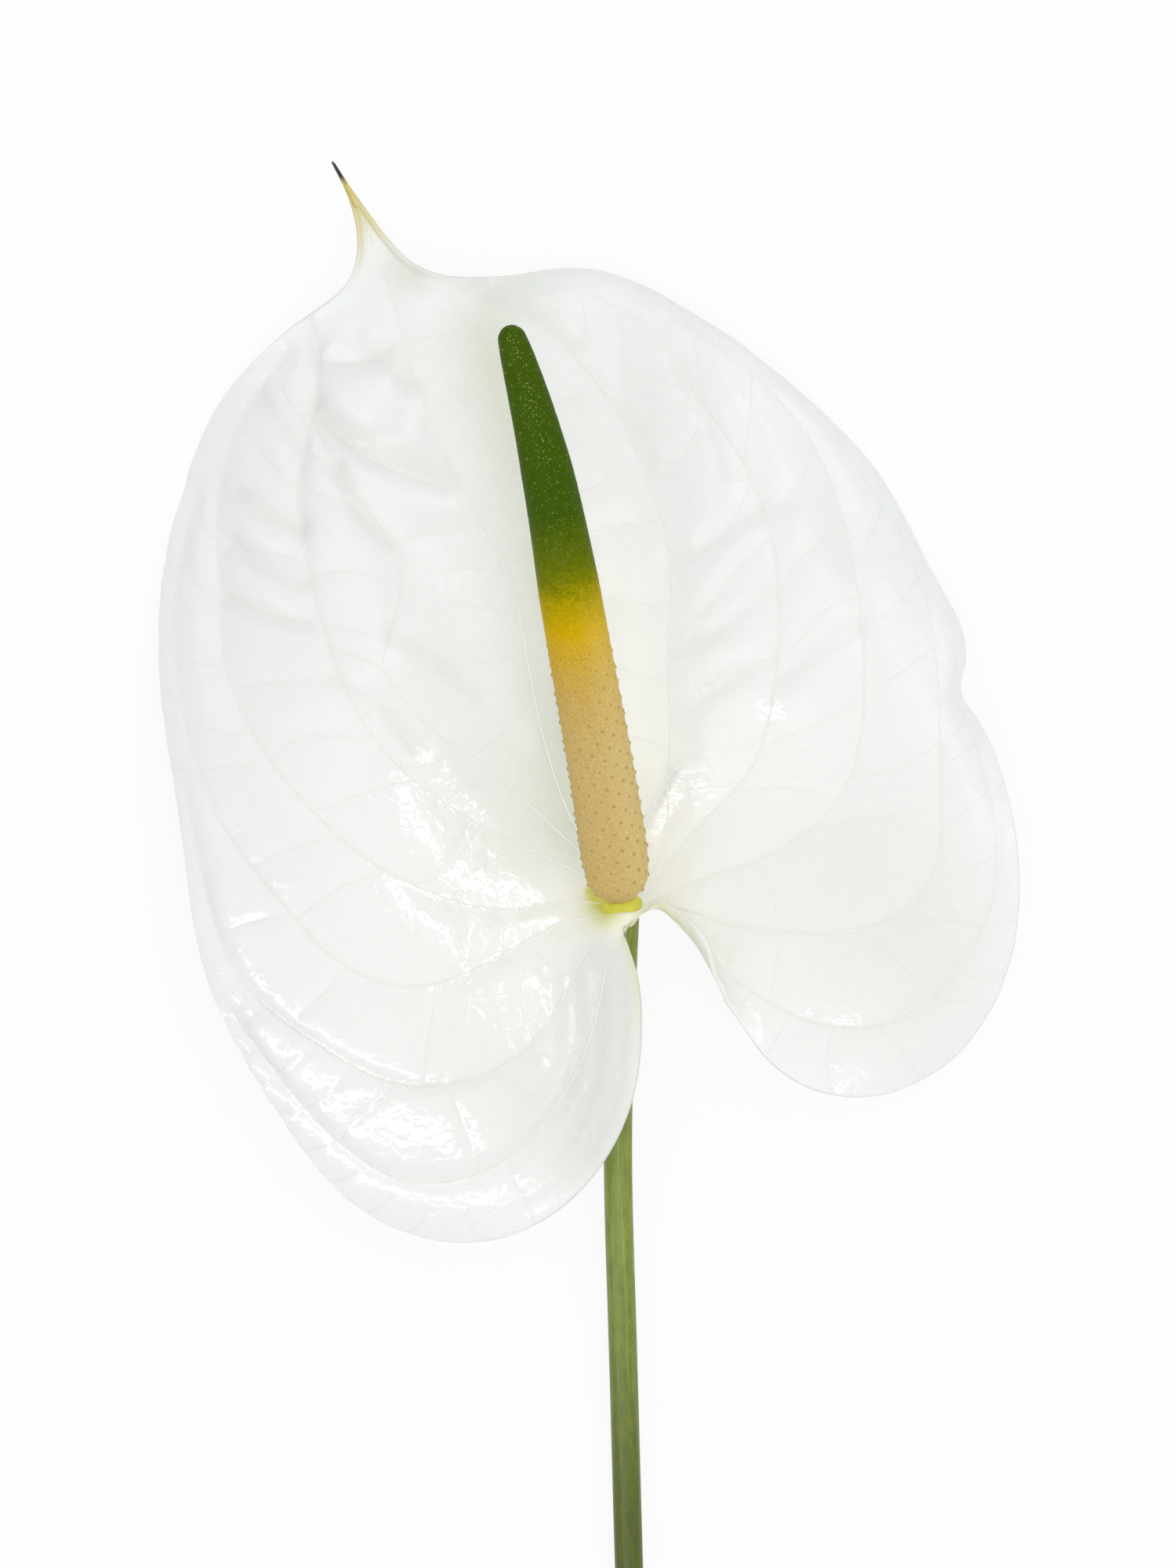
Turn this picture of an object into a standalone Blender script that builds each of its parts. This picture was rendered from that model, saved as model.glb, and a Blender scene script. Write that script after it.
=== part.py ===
"""A cut anthurium flower, lying on its back on a table.

The flower lies along Y: the cut end of its stalk points to -Y and the tip of its
spathe to +Y, with the open face of the spathe up.  The origin is on the table,
under the middle of the flower's bounding box.  Sizes below are in millimetres.
"""

import math

import bmesh
import bpy
import numpy as np
from mathutils import Vector

MM = 0.001

# The node, where stalk, spathe and spadix meet, is near x = 0, y = 0 at this height.
NODE_HEIGHT = 11.0

# The stalk: it lies on the table at its cut end and climbs to the node.
STALK_DIAMETER = 4.7
STALK_LENGTH = 240.0
STALK_ON_TABLE = 80.0
STALK_SIDEWAYS = [(0.3, 2.6), (-1.1, 42.0), (-0.6, 65.0), (0.5, 104.0), (2.6, 165.0), (4.0, 240.0)]
STALK_POINTS = 36
STALK_ROUNDNESS = 5

# The short green collar between the stalk and the spadix, as a turned profile:
# (distance up its axis, diameter).
COLLAR_START = (0.25, -1.62, 11.02)
COLLAR_END = (-0.3, 1.75, 12.45)
COLLAR_PROFILE = [(0.0, 4.0), (0.3, 4.8), (0.65, 7.0), (0.82, 7.4), (1.0, 5.6)]
COLLAR_SIDES = 24

# The spadix: its axis climbs off the spathe and bends to the left near the tip.
SPADIX_CLIMB_DEGREES = 21.0
SPADIX_ABOVE_COLLAR = 0.2
SPADIX_AXIS = [(-0.4, 2.05), (-3.2, 21.0), (-7.8, 46.7), (-12.2, 70.5), (-15.6, 84.0), (-18.3, 93.2)]
SPADIX_DIAMETERS = [
    (0.0, 5.0), (0.015, 8.0), (0.04, 10.0), (0.09, 10.9), (0.3, 10.4), (0.55, 9.9),
    (0.75, 8.3), (0.88, 6.5), (0.95, 5.3), (0.985, 3.8), (1.0, 1.8),
]
SPADIX_POINTS = 44
SPADIX_ROUNDNESS = 7

# The spathe's blade.
SPATHE_THICKNESS = 0.8
ROLLED_STRIP = 8.0
ROLLED_SHARE = 0.45
FLATTEST_ROLL = 1e-4
MIDRIB = [
    (0.3, -0.6), (-0.6, 2.6), (-3.4, 7.0), (-7.2, 13.0), (-14.6, 36.0), (-19.5, 57.0), (-26.5, 70.5),
    (-32.5, 84.0), (-37.0, 98.0), (-41.5, 112.0), (-46.6, 121.6),
]
# Each margin runs from the notch at the stalk, round its lobe and up to the tip:
# (x, y, how far up the midrib its rib starts, heading of the rib's end back into the
# blade in degrees from +X, roll of the edge in degrees: up and over, or negative, under).
LEFT_MARGIN = [
    (0.1, -2.9, 0.0, 174, 0), (1.7, -7.5, 0.008, 184, 10), (3.2, -15.0, 0.017, 184, 10),
    (2.2, -30.0, 0.033, 172, 5), (-6.0, -45.0, 0.052, 138, 0), (-18.0, -52.3, 0.07, 113, -15),
    (-32.0, -53.2, 0.09, 88, -20), (-46.0, -45.0, 0.115, 62, -20), (-57.0, -31.0, 0.145, 43, -20),
    (-68.0, -11.5, 0.19, 24, -25), (-72.2, 11.0, 0.25, 12, -30), (-75.6, 33.0, 0.345, 5, -35),
    (-76.6, 51.0, 0.44, -2, -35), (-73.0, 70.3, 0.55, -16, -30), (-64.4, 88.4, 0.67, -30, -20),
    (-52.8, 98.2, 0.76, -42, 10), (-44.4, 104.8, 0.85, -25, 50), (-43.3, 112.5, 0.92, 5, 70),
    (-47.0, 122.4, 1.0, 25, 60),
]
RIGHT_MARGIN = [
    (0.5, -2.8, 0.0, 0, 20), (2.6, -1.2, 0.01, 30, 80), (5.2, -0.4, 0.018, 62, 140),
    (8.3, -2.4, 0.027, 72, 180), (12.4, -6.4, 0.037, 62, 150), (15.4, -11.0, 0.047, 50, 90),
    (19.0, -16.4, 0.057, 45, 35), (26.0, -25.4, 0.075, 58, 10), (35.0, -30.0, 0.092, 84, -10),
    (47.0, -28.4, 0.112, 108, -20), (57.2, -19.6, 0.138, 136, -15), (63.3, -5.0, 0.172, 162, -10),
    (63.9, 12.0, 0.215, 186, -10), (60.0, 27.5, 0.265, 198, -30), (56.6, 38.0, 0.305, 198, -90),
    (52.0, 54.0, 0.375, 202, -125), (43.4, 71.8, 0.47, 216, -130), (28.0, 88.0, 0.57, 228, -125),
    (9.3, 100.2, 0.66, 240, -110), (-6.0, 106.0, 0.72, 262, -80), (-21.0, 104.3, 0.78, 268, -30),
    (-30.5, 104.6, 0.83, 248, 30), (-38.0, 110.0, 0.90, 225, 65), (-45.6, 121.2, 1.0, 205, 60),
]
# How far a rib runs on before it bends: out from the midrib and in from the margin,
# as a share of its reach, and near the node, where the ribs go round the stalk.
ARM_SHARES = (0.30, 0.25)
NODE_ARM = 5.4
NODE_ARM_FADES = (0.08, 0.02)
MIDRIB_STEP = 0.004
RIB_SAMPLES = 61
# Heights of the blade's upper face above the table, at landmarks on it: (x, y, height).
HEIGHTS = [
    # the attachment round the node and the gutter under the spadix
    (0.3, -0.6, 7.3), (-2.9, -0.8, 8.4), (3.3, -0.6, 8.4), (-4.0, -1.8, 11.0), (4.5, -1.7, 11.0),
    (0.1, -2.9, 14.9), (0.5, -2.8, 14.9), (0.0, 3.0, 5.8),
    (-8.5, 5.0, 7.4), (8.5, 4.5, 8.2), (-6.0, 11.0, 4.8), (4.5, 10.0, 6.2),
    (-12.0, 35.0, 5.0), (-15.5, 60.0, 6.2), (-18.5, 83.0, 7.2), (-20.8, 103.0, 9.0),
    # the left lobe
    (-12.0, -9.0, 17.0), (3.0, -14.0, 18.5), (2.2, -30.0, 22.0), (-6.0, -45.0, 23.5),
    (-22.0, -25.0, 24.5), (-32.0, -53.0, 21.5), (-43.0, -22.0, 25.0), (-50.0, -40.0, 21.5),
    # the left half
    (-45.0, 4.0, 22.5), (-67.0, -11.0, 19.0), (-71.5, 11.0, 15.5), (-24.0, 18.0, 12.0),
    (-42.0, 40.0, 19.0), (-76.0, 46.0, 8.0), (-45.0, 68.0, 14.5), (-72.8, 70.0, 2.87),
    (-64.0, 88.0, 3.8), (-43.0, 89.0, 11.5), (-30.0, 60.0, 9.5), (-50.0, 98.0, 7.5),
    # the channelled tip
    (-40.0, 106.0, 9.5), (-43.0, 114.0, 10.5), (-46.6, 121.8, 10.0),
    # the right lobe
    (12.2, -6.4, 17.5), (22.0, -6.0, 20.5), (38.0, -8.0, 24.5), (35.0, -30.0, 25.0),
    (54.0, -20.0, 24.5), (64.0, 0.0, 23.0), (46.0, 14.0, 22.5), (26.0, 14.0, 16.5),
    # the right half and its rolled shoulder
    (61.0, 24.0, 18.0), (10.0, 32.0, 12.0), (30.0, 36.0, 19.5), (52.0, 54.0, 9.5),
    (24.0, 60.0, 18.0), (43.2, 71.8, 5.5), (2.0, 66.0, 11.5), (27.0, 87.0, 9.0),
    (8.0, 86.0, 12.5), (9.3, 100.2, 9.5), (-6.0, 105.0, 9.5), (-31.0, 104.5, 10.0),
]
MARGIN_CELLS = 54
RIB_CELLS = 11
EDGE_CROWDING = 1.35
CENTRE = 1e-4
NO_DISTANCE = 1e-9

COLOURS = {
    "peduncle": (0.12, 0.21, 0.04),
    "stipe": (0.50, 0.56, 0.10),
    "spadix": (0.62, 0.44, 0.14),
    "spathe": (0.87, 0.88, 0.84),
}
ROUGHNESS = {"peduncle": 0.45, "stipe": 0.5, "spadix": 0.55, "spathe": 0.25}


def clear_scene():
    for obj in list(bpy.data.objects):
        bpy.data.objects.remove(obj, do_unlink=True)


def flower_collection():
    collection = bpy.data.collections.new("anthurium_flower")
    bpy.context.scene.collection.children.link(collection)
    return collection


def finish(collection, obj, name):
    """Name an object, give it its own material and put it in the flower."""
    material = bpy.data.materials.new(name)
    material.use_nodes = True
    shader = material.node_tree.nodes["Principled BSDF"]
    shader.inputs["Base Color"].default_value = (*COLOURS[name], 1.0)
    shader.inputs["Roughness"].default_value = ROUGHNESS[name]
    shader.inputs["Metallic"].default_value = 0.0
    obj.name = name
    obj.data.name = name
    obj.data.materials.append(material)
    collection.objects.link(obj)
    return obj


# ---------------------------------------------------------------- smooth curves

def spline(points):
    """The smooth curve through some points, as a function of 0 to 1 along their chords."""
    points = np.array(points, float)
    steps = np.linalg.norm(np.diff(points, axis=0), axis=1)
    knots = np.concatenate(([0.0], np.cumsum(steps))) / steps.sum()
    gaps = np.diff(knots)
    count = len(points)
    system = np.eye(count)
    target = np.zeros_like(points)
    for i in range(1, count - 1):
        system[i, i - 1:i + 2] = gaps[i - 1], 2.0 * (gaps[i - 1] + gaps[i]), gaps[i]
        rise_after = (points[i + 1] - points[i]) / gaps[i]
        rise_before = (points[i] - points[i - 1]) / gaps[i - 1]
        target[i] = 6.0 * (rise_after - rise_before)
    bend = np.linalg.solve(system, target)

    def at(u):
        u = np.atleast_1d(u)
        i = np.clip(np.searchsorted(knots, u) - 1, 0, count - 2)
        gap = gaps[i][:, None]
        after = (knots[i + 1] - u)[:, None]
        before = (u - knots[i])[:, None]
        cubic = (bend[i] * after**3 + bend[i + 1] * before**3) / (6.0 * gap)
        start = (points[i] / gap - bend[i] * gap / 6.0) * after
        end = (points[i + 1] / gap - bend[i + 1] * gap / 6.0) * before
        return cubic + start + end

    return at, knots


def height_field(landmarks):
    """The smoothest surface through some heights: a thin plate bent over them."""
    landmarks = np.array(landmarks, float)
    places, heights = landmarks[:, :2], landmarks[:, 2]
    count = len(places)

    def plate(xy):
        apart = np.linalg.norm(xy[:, None] - places[None], axis=2)
        return apart**2 * np.log(np.maximum(apart, NO_DISTANCE))

    def plane(xy):
        return np.column_stack((np.ones(len(xy)), xy))

    system = np.zeros((count + 3, count + 3))
    system[:count, :count] = plate(places)
    system[:count, count:] = plane(places)
    system[count:, :count] = plane(places).T
    weights = np.linalg.solve(system, np.concatenate((heights, np.zeros(3))))

    def at(xy):
        return plate(xy) @ weights[:count] + plane(xy) @ weights[count:]

    return at


# ---------------------------------------------------------------- the spathe

class Blade:
    """The spathe's upper face: a point for each place between midrib, margin, base and tip."""

    def __init__(self):
        self.midrib, _ = spline(MIDRIB)
        self.height = height_field(HEIGHTS)
        self.margins = {}
        for side, margin in ((-1, LEFT_MARGIN), (1, RIGHT_MARGIN)):
            table = np.array(margin, float)
            curve, knots = spline(table[:, :2])
            self.margins[side] = (curve, knots, table[:, 2:])

    def rib(self, side, along, across):
        """Points in millimetres on one rib; across is 0 on the midrib and 1 on the margin."""
        curve, knots, table = self.margins[side]
        foot, heading, roll = (np.interp(along, knots, table[:, i]) for i in range(3))
        edge, start = curve(along)[0], self.midrib(foot)[0]
        ahead = self.midrib(foot + MIDRIB_STEP)[0] - self.midrib(foot - MIDRIB_STEP)[0]
        leave = side * np.array((ahead[1], -ahead[0])) / np.linalg.norm(ahead)
        arrive = np.array((math.cos(math.radians(heading)), math.sin(math.radians(heading))))
        reach = np.linalg.norm(edge - start)
        first = ARM_SHARES[0] * reach + NODE_ARM * math.exp(-foot / NODE_ARM_FADES[0])
        last = ARM_SHARES[1] * reach + NODE_ARM * math.exp(-along / NODE_ARM_FADES[1])
        corners = np.array((start, start + first * leave, edge + last * arrive, edge))

        u = np.linspace(0.0, 1.0, RIB_SAMPLES)[:, None]
        weights = np.hstack(((1 - u)**3, 3 * u * (1 - u)**2, 3 * u**2 * (1 - u), u**3))
        path = weights @ corners
        steps = np.linalg.norm(np.diff(path, axis=0), axis=1)
        reached = np.concatenate(([0.0], np.cumsum(steps)))

        angle = math.radians(abs(roll)) + FLATTEST_ROLL
        strip = min(ROLLED_STRIP, ROLLED_SHARE * reached[-1])
        radius = strip / angle
        flat = reached[-1] - radius * math.sin(min(angle, math.pi / 2))
        travel = across * (flat + strip)
        turned = np.maximum(travel - flat, 0.0) / radius
        run = np.minimum(travel, flat) + radius * np.sin(turned)
        plan = np.column_stack([np.interp(run, reached, path[:, i]) for i in range(2)])
        lift = radius * (1.0 - np.cos(turned)) * math.copysign(1.0, roll)
        return np.column_stack((plan, self.height(plan) + lift))


def crowd_to_edge(value):
    """Spread 0..1 so that cells are narrower at the rolled margin."""
    return 1.0 - (1.0 - value) ** EDGE_CROWDING


def add_spathe(collection):
    """A grid laid over the blade from margin to margin, thickened downwards."""
    blade = Blade()
    mesh = bpy.data.meshes.new("spathe")
    grid = bmesh.new()
    bmesh.ops.create_grid(grid, x_segments=2 * RIB_CELLS, y_segments=MARGIN_CELLS, size=1.0)
    rows = {}
    for vert in grid.verts:
        side = -1 if vert.co.x < -CENTRE else 1
        rows.setdefault((side, round(vert.co.y, 5)), []).append(vert)
    for (side, level), row in rows.items():
        across = crowd_to_edge(np.array([abs(vert.co.x) for vert in row]))
        for vert, point in zip(row, blade.rib(side, (level + 1.0) / 2.0, across)):
            vert.co = Vector(point) * MM
    grid.to_mesh(mesh)
    grid.free()
    mesh.shade_smooth()
    spathe = bpy.data.objects.new("spathe", mesh)
    shell = spathe.modifiers.new("Thickness", "SOLIDIFY")
    shell.thickness = SPATHE_THICKNESS * MM
    shell.offset = -1.0
    shell.use_even_offset = False
    return finish(collection, spathe, "spathe")


# ---------------------------------------------------------------- stalk and spadix

def add_tube(collection, name, points, diameters, bevel_resolution):
    """A round stem through points in millimetres, with its own diameter at each."""
    curve = bpy.data.curves.new(name, "CURVE")
    curve.dimensions = "3D"
    curve.bevel_depth = 0.5 * MM
    curve.bevel_resolution = bevel_resolution
    curve.use_fill_caps = True
    line = curve.splines.new("POLY")
    line.points.add(len(points) - 1)
    for vertex, point, diameter in zip(line.points, points, diameters):
        vertex.co = (*(Vector(point) * MM), 1.0)
        vertex.radius = diameter
    line.use_smooth = True
    return finish(collection, bpy.data.objects.new(name, curve), name)


def stalk_height(distance):
    """Height of the stalk's axis, by distance from the node."""
    climb = np.clip(1.0 - distance / (STALK_LENGTH - STALK_ON_TABLE), 0.0, 1.0)
    low = STALK_DIAMETER / 2.0
    return low + (NODE_HEIGHT - low) * climb**2


def add_peduncle(collection):
    route, _ = spline(STALK_SIDEWAYS)
    sideways = route(np.linspace(0.0, 1.0, STALK_POINTS))
    points = [(x, -y, float(stalk_height(y))) for x, y in sideways]
    return add_tube(collection, "peduncle", points, [STALK_DIAMETER] * STALK_POINTS, STALK_ROUNDNESS)


def add_stipe(collection):
    """A turned collar whose axis leans along the flower, like the spadix above it."""
    start, end = Vector(COLLAR_START) * MM, Vector(COLLAR_END) * MM
    length = (end - start).length
    rings = [(diameter / 2.0 * MM, share * length) for share, diameter in COLLAR_PROFILE]
    outer = [(0.0, length)] + rings[::-1] + [(0.0, 0.0)]
    mesh = bpy.data.meshes.new("stipe")
    mesh.from_pydata([(r, 0.0, z) for r, z in outer], [(i, i + 1) for i in range(len(outer) - 1)], [])
    stipe = bpy.data.objects.new("stipe", mesh)
    stipe.location = start
    stipe.rotation_euler = (end - start).to_track_quat("Z", "Y").to_euler()
    turn = stipe.modifiers.new("Turn", "SCREW")
    turn.steps = turn.render_steps = COLLAR_SIDES
    turn.use_merge_vertices = True
    turn.merge_threshold = 0.00001
    return finish(collection, stipe, "stipe")


def spadix_axis():
    """Points up the axis of the spadix, closer at its ends, and the share of its length at each."""
    share = (1.0 - np.cos(np.linspace(0.0, math.pi, SPADIX_POINTS))) / 2.0
    plan = spline(SPADIX_AXIS)[0](share)
    travelled = plan[:, 1] - plan[0, 1]
    base = COLLAR_END[2] + SPADIX_ABOVE_COLLAR
    height = base + travelled * math.tan(math.radians(SPADIX_CLIMB_DEGREES))
    return np.column_stack((plan, height)), share


def add_spadix(collection):
    points, share = spadix_axis()
    stations, sizes = zip(*SPADIX_DIAMETERS)
    diameters = np.interp(share, stations, sizes)
    return add_tube(collection, "spadix", [tuple(p) for p in points], diameters, SPADIX_ROUNDNESS)


def stand_on_origin(collection, pieces):
    """Hang the pieces on an empty that puts the middle of their box's base at the origin."""
    bpy.context.view_layer.update()
    depsgraph = bpy.context.evaluated_depsgraph_get()
    corners = []
    for piece in pieces:
        solid = piece.evaluated_get(depsgraph)
        mesh = solid.to_mesh()
        corners += [piece.matrix_world @ vertex.co for vertex in mesh.vertices]
        solid.to_mesh_clear()
    low = Vector(min(corner[i] for corner in corners) for i in range(3))
    high = Vector(max(corner[i] for corner in corners) for i in range(3))
    flower = bpy.data.objects.new("flower", None)
    flower.location = (-(low.x + high.x) / 2.0, -(low.y + high.y) / 2.0, -low.z)
    collection.objects.link(flower)
    for piece in pieces:
        piece.parent = flower


def main():
    clear_scene()
    collection = flower_collection()
    pieces = [
        add_peduncle(collection),
        add_stipe(collection),
        add_spadix(collection),
        add_spathe(collection),
    ]
    stand_on_origin(collection, pieces)


main()
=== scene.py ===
"""A cut white anthurium lying on its back: the surfaces and finishes of its four pieces.

The flower lies along Y with the open face of its spathe up.  Lengths in this file are in
millimetres, and become metres where a mesh is made.  Metres are used only by names that end
in _M, by the lengths in the sidebar, and in the materials by bump distances, subsurface
scales and patterns on Object coordinates.
"""
import math

import bpy
import numpy as np
from bpy.props import FloatProperty, FloatVectorProperty, IntProperty, PointerProperty
from mathutils import Matrix, Vector, noise
from mathutils.bvhtree import BVHTree
from mathutils.geometry import barycentric_transform
from mathutils.kdtree import KDTree


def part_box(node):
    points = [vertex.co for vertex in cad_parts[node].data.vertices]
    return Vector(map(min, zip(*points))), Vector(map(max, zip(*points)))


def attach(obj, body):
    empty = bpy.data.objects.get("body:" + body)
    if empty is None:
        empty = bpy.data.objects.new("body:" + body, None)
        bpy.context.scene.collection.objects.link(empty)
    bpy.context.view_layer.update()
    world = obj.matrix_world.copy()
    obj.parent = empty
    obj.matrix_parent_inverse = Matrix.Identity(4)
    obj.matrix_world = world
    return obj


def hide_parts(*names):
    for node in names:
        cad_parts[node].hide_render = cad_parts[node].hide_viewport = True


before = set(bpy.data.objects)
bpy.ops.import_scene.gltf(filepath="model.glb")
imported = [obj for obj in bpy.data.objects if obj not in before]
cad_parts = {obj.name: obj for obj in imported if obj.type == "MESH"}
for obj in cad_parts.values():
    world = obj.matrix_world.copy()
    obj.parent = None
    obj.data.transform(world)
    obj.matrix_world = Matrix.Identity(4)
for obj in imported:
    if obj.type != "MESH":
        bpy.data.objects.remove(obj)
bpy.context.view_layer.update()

bl_info = {
    "name": "Cut anthurium",
    "version": (1, 0, 0),
    "blender": (4, 5, 0),
    "location": "3D View > Sidebar > Anthurium",
    "description": "Builds a lying anthurium flower around its packed solids",
    "category": "Object",
}

MM = 0.001
BODY = "root"
GOLDEN_ANGLE = math.pi * (3.0 - math.sqrt(5.0))

# ---------------------------------------------------------------- the flower's design
# The node, where stalk, spathe and spadix meet, is near x = 0, y = 0 at this height.
NODE_HEIGHT = 11.0

STALK_DIAMETER = 4.7
STALK_LENGTH = 240.0
# The last stretch of it lies on the table.
STALK_ON_TABLE = 80.0
# (sideways, distance from the node) of the stalk's axis.
STALK_SIDEWAYS = [(0.3, 0.8), (-0.8, 42.0), (-0.2, 65.0), (0.9, 104.0), (2.8, 165.0), (4.0, 240.0)]
# Faint ribs run along the stalk, turning slowly round it (radians per millimetre).
RIDGES = 11
RIDGE_HEIGHT = 0.012
RIDGE_TWIST = 0.01
# Rings across the cut face, as shares of its radius, and how far its middle has sunk.
CUT_RINGS = (0.97, 0.9, 0.75, 0.5, 0.25)
CUT_HOLLOW = 0.25

COLLAR_START = (0.25, -1.62, 11.02)
COLLAR_END = (-0.3, 1.75, 12.45)
# (share of the way up, diameter); it runs a little into the stalk and the spadix it joins.
COLLAR_PROFILE = [
    (-0.2, 3.8), (0.0, 4.3), (0.3, 5.0), (0.65, 6.4), (0.82, 6.9), (1.0, 6.6), (1.2, 5.0),
]
# The profile's corners are rounded over this share of its length.
COLLAR_SOFTNESS = 0.08

# The spadix climbs from just above the collar's end, along this line in plan.
SPADIX_CLIMB_DEGREES = 21.0
SPADIX_ABOVE_COLLAR = 0.2
SPADIX_AXIS = [
    (-0.4, 2.05), (-3.2, 21.0), (-7.8, 46.7), (-12.2, 70.5), (-15.6, 84.0), (-18.3, 93.2),
]
# (share of the way along, diameter)
SPADIX_DIAMETERS = [
    (0.0, 6.4), (0.015, 8.3), (0.04, 10.0), (0.09, 10.9), (0.3, 10.4), (0.55, 9.9),
    (0.75, 8.3), (0.88, 6.5), (0.95, 5.3), (0.985, 4.3), (1.0, 3.6),
]
# The girth is averaged over this much each way, which rounds off its corners.
GIRTH_SOFTNESS = 1.2
AXIS_SAMPLES = 400
SKIN_SAMPLES = 4000
# How far from its foot and its end the spadix rounds off, and the hole that each pole closes.
SPADIX_ENDS = (4.6, 1.9)
SPADIX_PINHOLE = 0.02
# The lowest florets hang this far over the collar.
SPADIX_FOOT = 0.4
# The share of the rings that crowd towards both ends.
CROWDED_SHARE = 0.12
# Grooves between the florets, and the crown that each tan floret rises to.
GROOVE_WIDTH = 0.30
CROWN_WIDTH = 0.42
CROWN_HEIGHT = 0.10
# A pistil's outline, (radius, height) in its own radius, and the dimple in its top.
PISTIL_PROFILE = [(1.15, -0.6), (1.0, 0.15), (0.72, 0.62), (0.34, 0.78)]
PISTIL_DIMPLE = 0.62
PISTIL_SIDES = 8
# A pistil is sunk this deep in a green floret, and stands higher by this much in a tan one.
PISTIL_SUNK = 0.10
PISTIL_RISE = 0.08
# The share by which pistils differ in size, and the seeds for that and for florets' tones.
PISTIL_UNEVENNESS = 0.18
PISTIL_SEED = 3
TONE_SEED = 5

SPATHE_THICKNESS = 0.8
# At the notch and the tip the spathe thins to this share, and its edge bulges by another.
THINNEST_SHARE = 0.35
EDGE_SHARE = 0.4
# Where it lies on the table, its upper face stays this share of its thickness above it.
PRESSED_SHARE = 0.3
# The least gap between the spathe and the table.
TABLE_GAP = 0.05
# The width of the strip that rolls at a margin, and the most of a rib that it takes.
ROLLED_STRIP = 8.0
ROLLED_SHARE = 0.45
FLATTEST_ROLL = 1e-4
# Places in plan: the node, where the ribs meet beside it, the middle of its tints, the tip.
NODE = (0.3, -1.0)
RIBS_MEET = (0.3, -1.2)
TINTED_NODE = (0.3, -0.5)
TIP = (-46.6, 121.6)
MIDRIB = [
    (0.3, -0.6), (-0.6, 2.6), (-3.4, 7.0), (-7.2, 13.0), (-14.6, 36.0), (-19.5, 57.0),
    (-26.5, 70.5), (-32.5, 84.0), (-37.0, 98.0), (-41.8, 112.0), (-47.6, 123.0),
]
# Each margin runs from the notch at the stalk, round its lobe and up to the tip:
# (x, y, how far up the midrib its rib starts, heading of the rib's end back into the
# blade in degrees from +X, roll of the edge in degrees: up and over, or negative, under).
LEFT_MARGIN = [
    (-0.2, -2.4, 0.0, 125, 0), (0.75, -5.2, 0.005, 165, 0), (1.7, -8.0, 0.009, 180, 0),
    (2.6, -15.0, 0.017, 184, 10), (1.1, -30.0, 0.033, 172, 5), (-7.0, -44.2, 0.052, 138, 0),
    (-18.0, -51.6, 0.07, 113, -15), (-32.0, -52.4, 0.09, 88, -20), (-46.0, -44.9, 0.115, 62, -20),
    (-56.6, -31.0, 0.145, 43, -20), (-67.2, -11.5, 0.19, 24, -25), (-71.8, 11.0, 0.25, 12, -30),
    (-75.4, 33.0, 0.345, 5, -35), (-76.3, 51.0, 0.44, -2, -35), (-72.5, 70.1, 0.55, -16, -30),
    (-63.8, 87.9, 0.67, -30, -20), (-52.3, 97.4, 0.76, -42, 10), (-44.1, 104.4, 0.85, -25, 50),
    (-43.3, 112.5, 0.92, 5, 70), (-47.4, 123.2, 1.0, 25, 60),
]
RIGHT_MARGIN = [
    (0.2, -2.2, 0.0, 55, 20), (2.5, -0.2, 0.01, 62, 80), (5.4, 1.2, 0.018, 70, 140),
    (9.0, -0.9, 0.027, 72, 180), (13.2, -5.6, 0.037, 62, 150), (15.7, -10.9, 0.047, 50, 90),
    (18.8, -16.6, 0.057, 45, 35), (25.8, -25.2, 0.075, 58, 10), (35.0, -29.0, 0.092, 84, -10),
    (46.5, -27.3, 0.112, 108, -20), (56.7, -19.1, 0.138, 136, -15), (62.9, -4.8, 0.172, 162, -10),
    (63.6, 12.0, 0.215, 186, -10), (60.2, 27.5, 0.265, 198, -30), (57.4, 33.2, 0.286, 198, -65),
    (55.8, 36.0, 0.296, 198, -80), (56.3, 40.5, 0.315, 199, -100), (51.6, 53.9, 0.375, 202, -125),
    (42.7, 71.3, 0.47, 216, -130), (27.6, 87.5, 0.57, 228, -125), (9.3, 100.1, 0.66, 240, -110),
    (-6.6, 105.8, 0.72, 262, -80), (-20.4, 104.6, 0.78, 268, -30), (-30.5, 104.2, 0.83, 248, 30),
    (-38.8, 110.2, 0.9, 225, 65), (-46.6, 121.4, 1.0, 205, 60),
]
# A rib leaves the midrib and reaches the margin on arms that are these shares of its reach,
# and a little longer at the node, where it fades along the midrib and along the margin.
ARM_SHARES = (0.30, 0.25)
NODE_ARM = 1.8
NODE_ARM_FADES = (0.08, 0.02)
MIDRIB_STEP = 0.004
RIB_SAMPLES = 61
MIDRIB_SAMPLES = 4001
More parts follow.
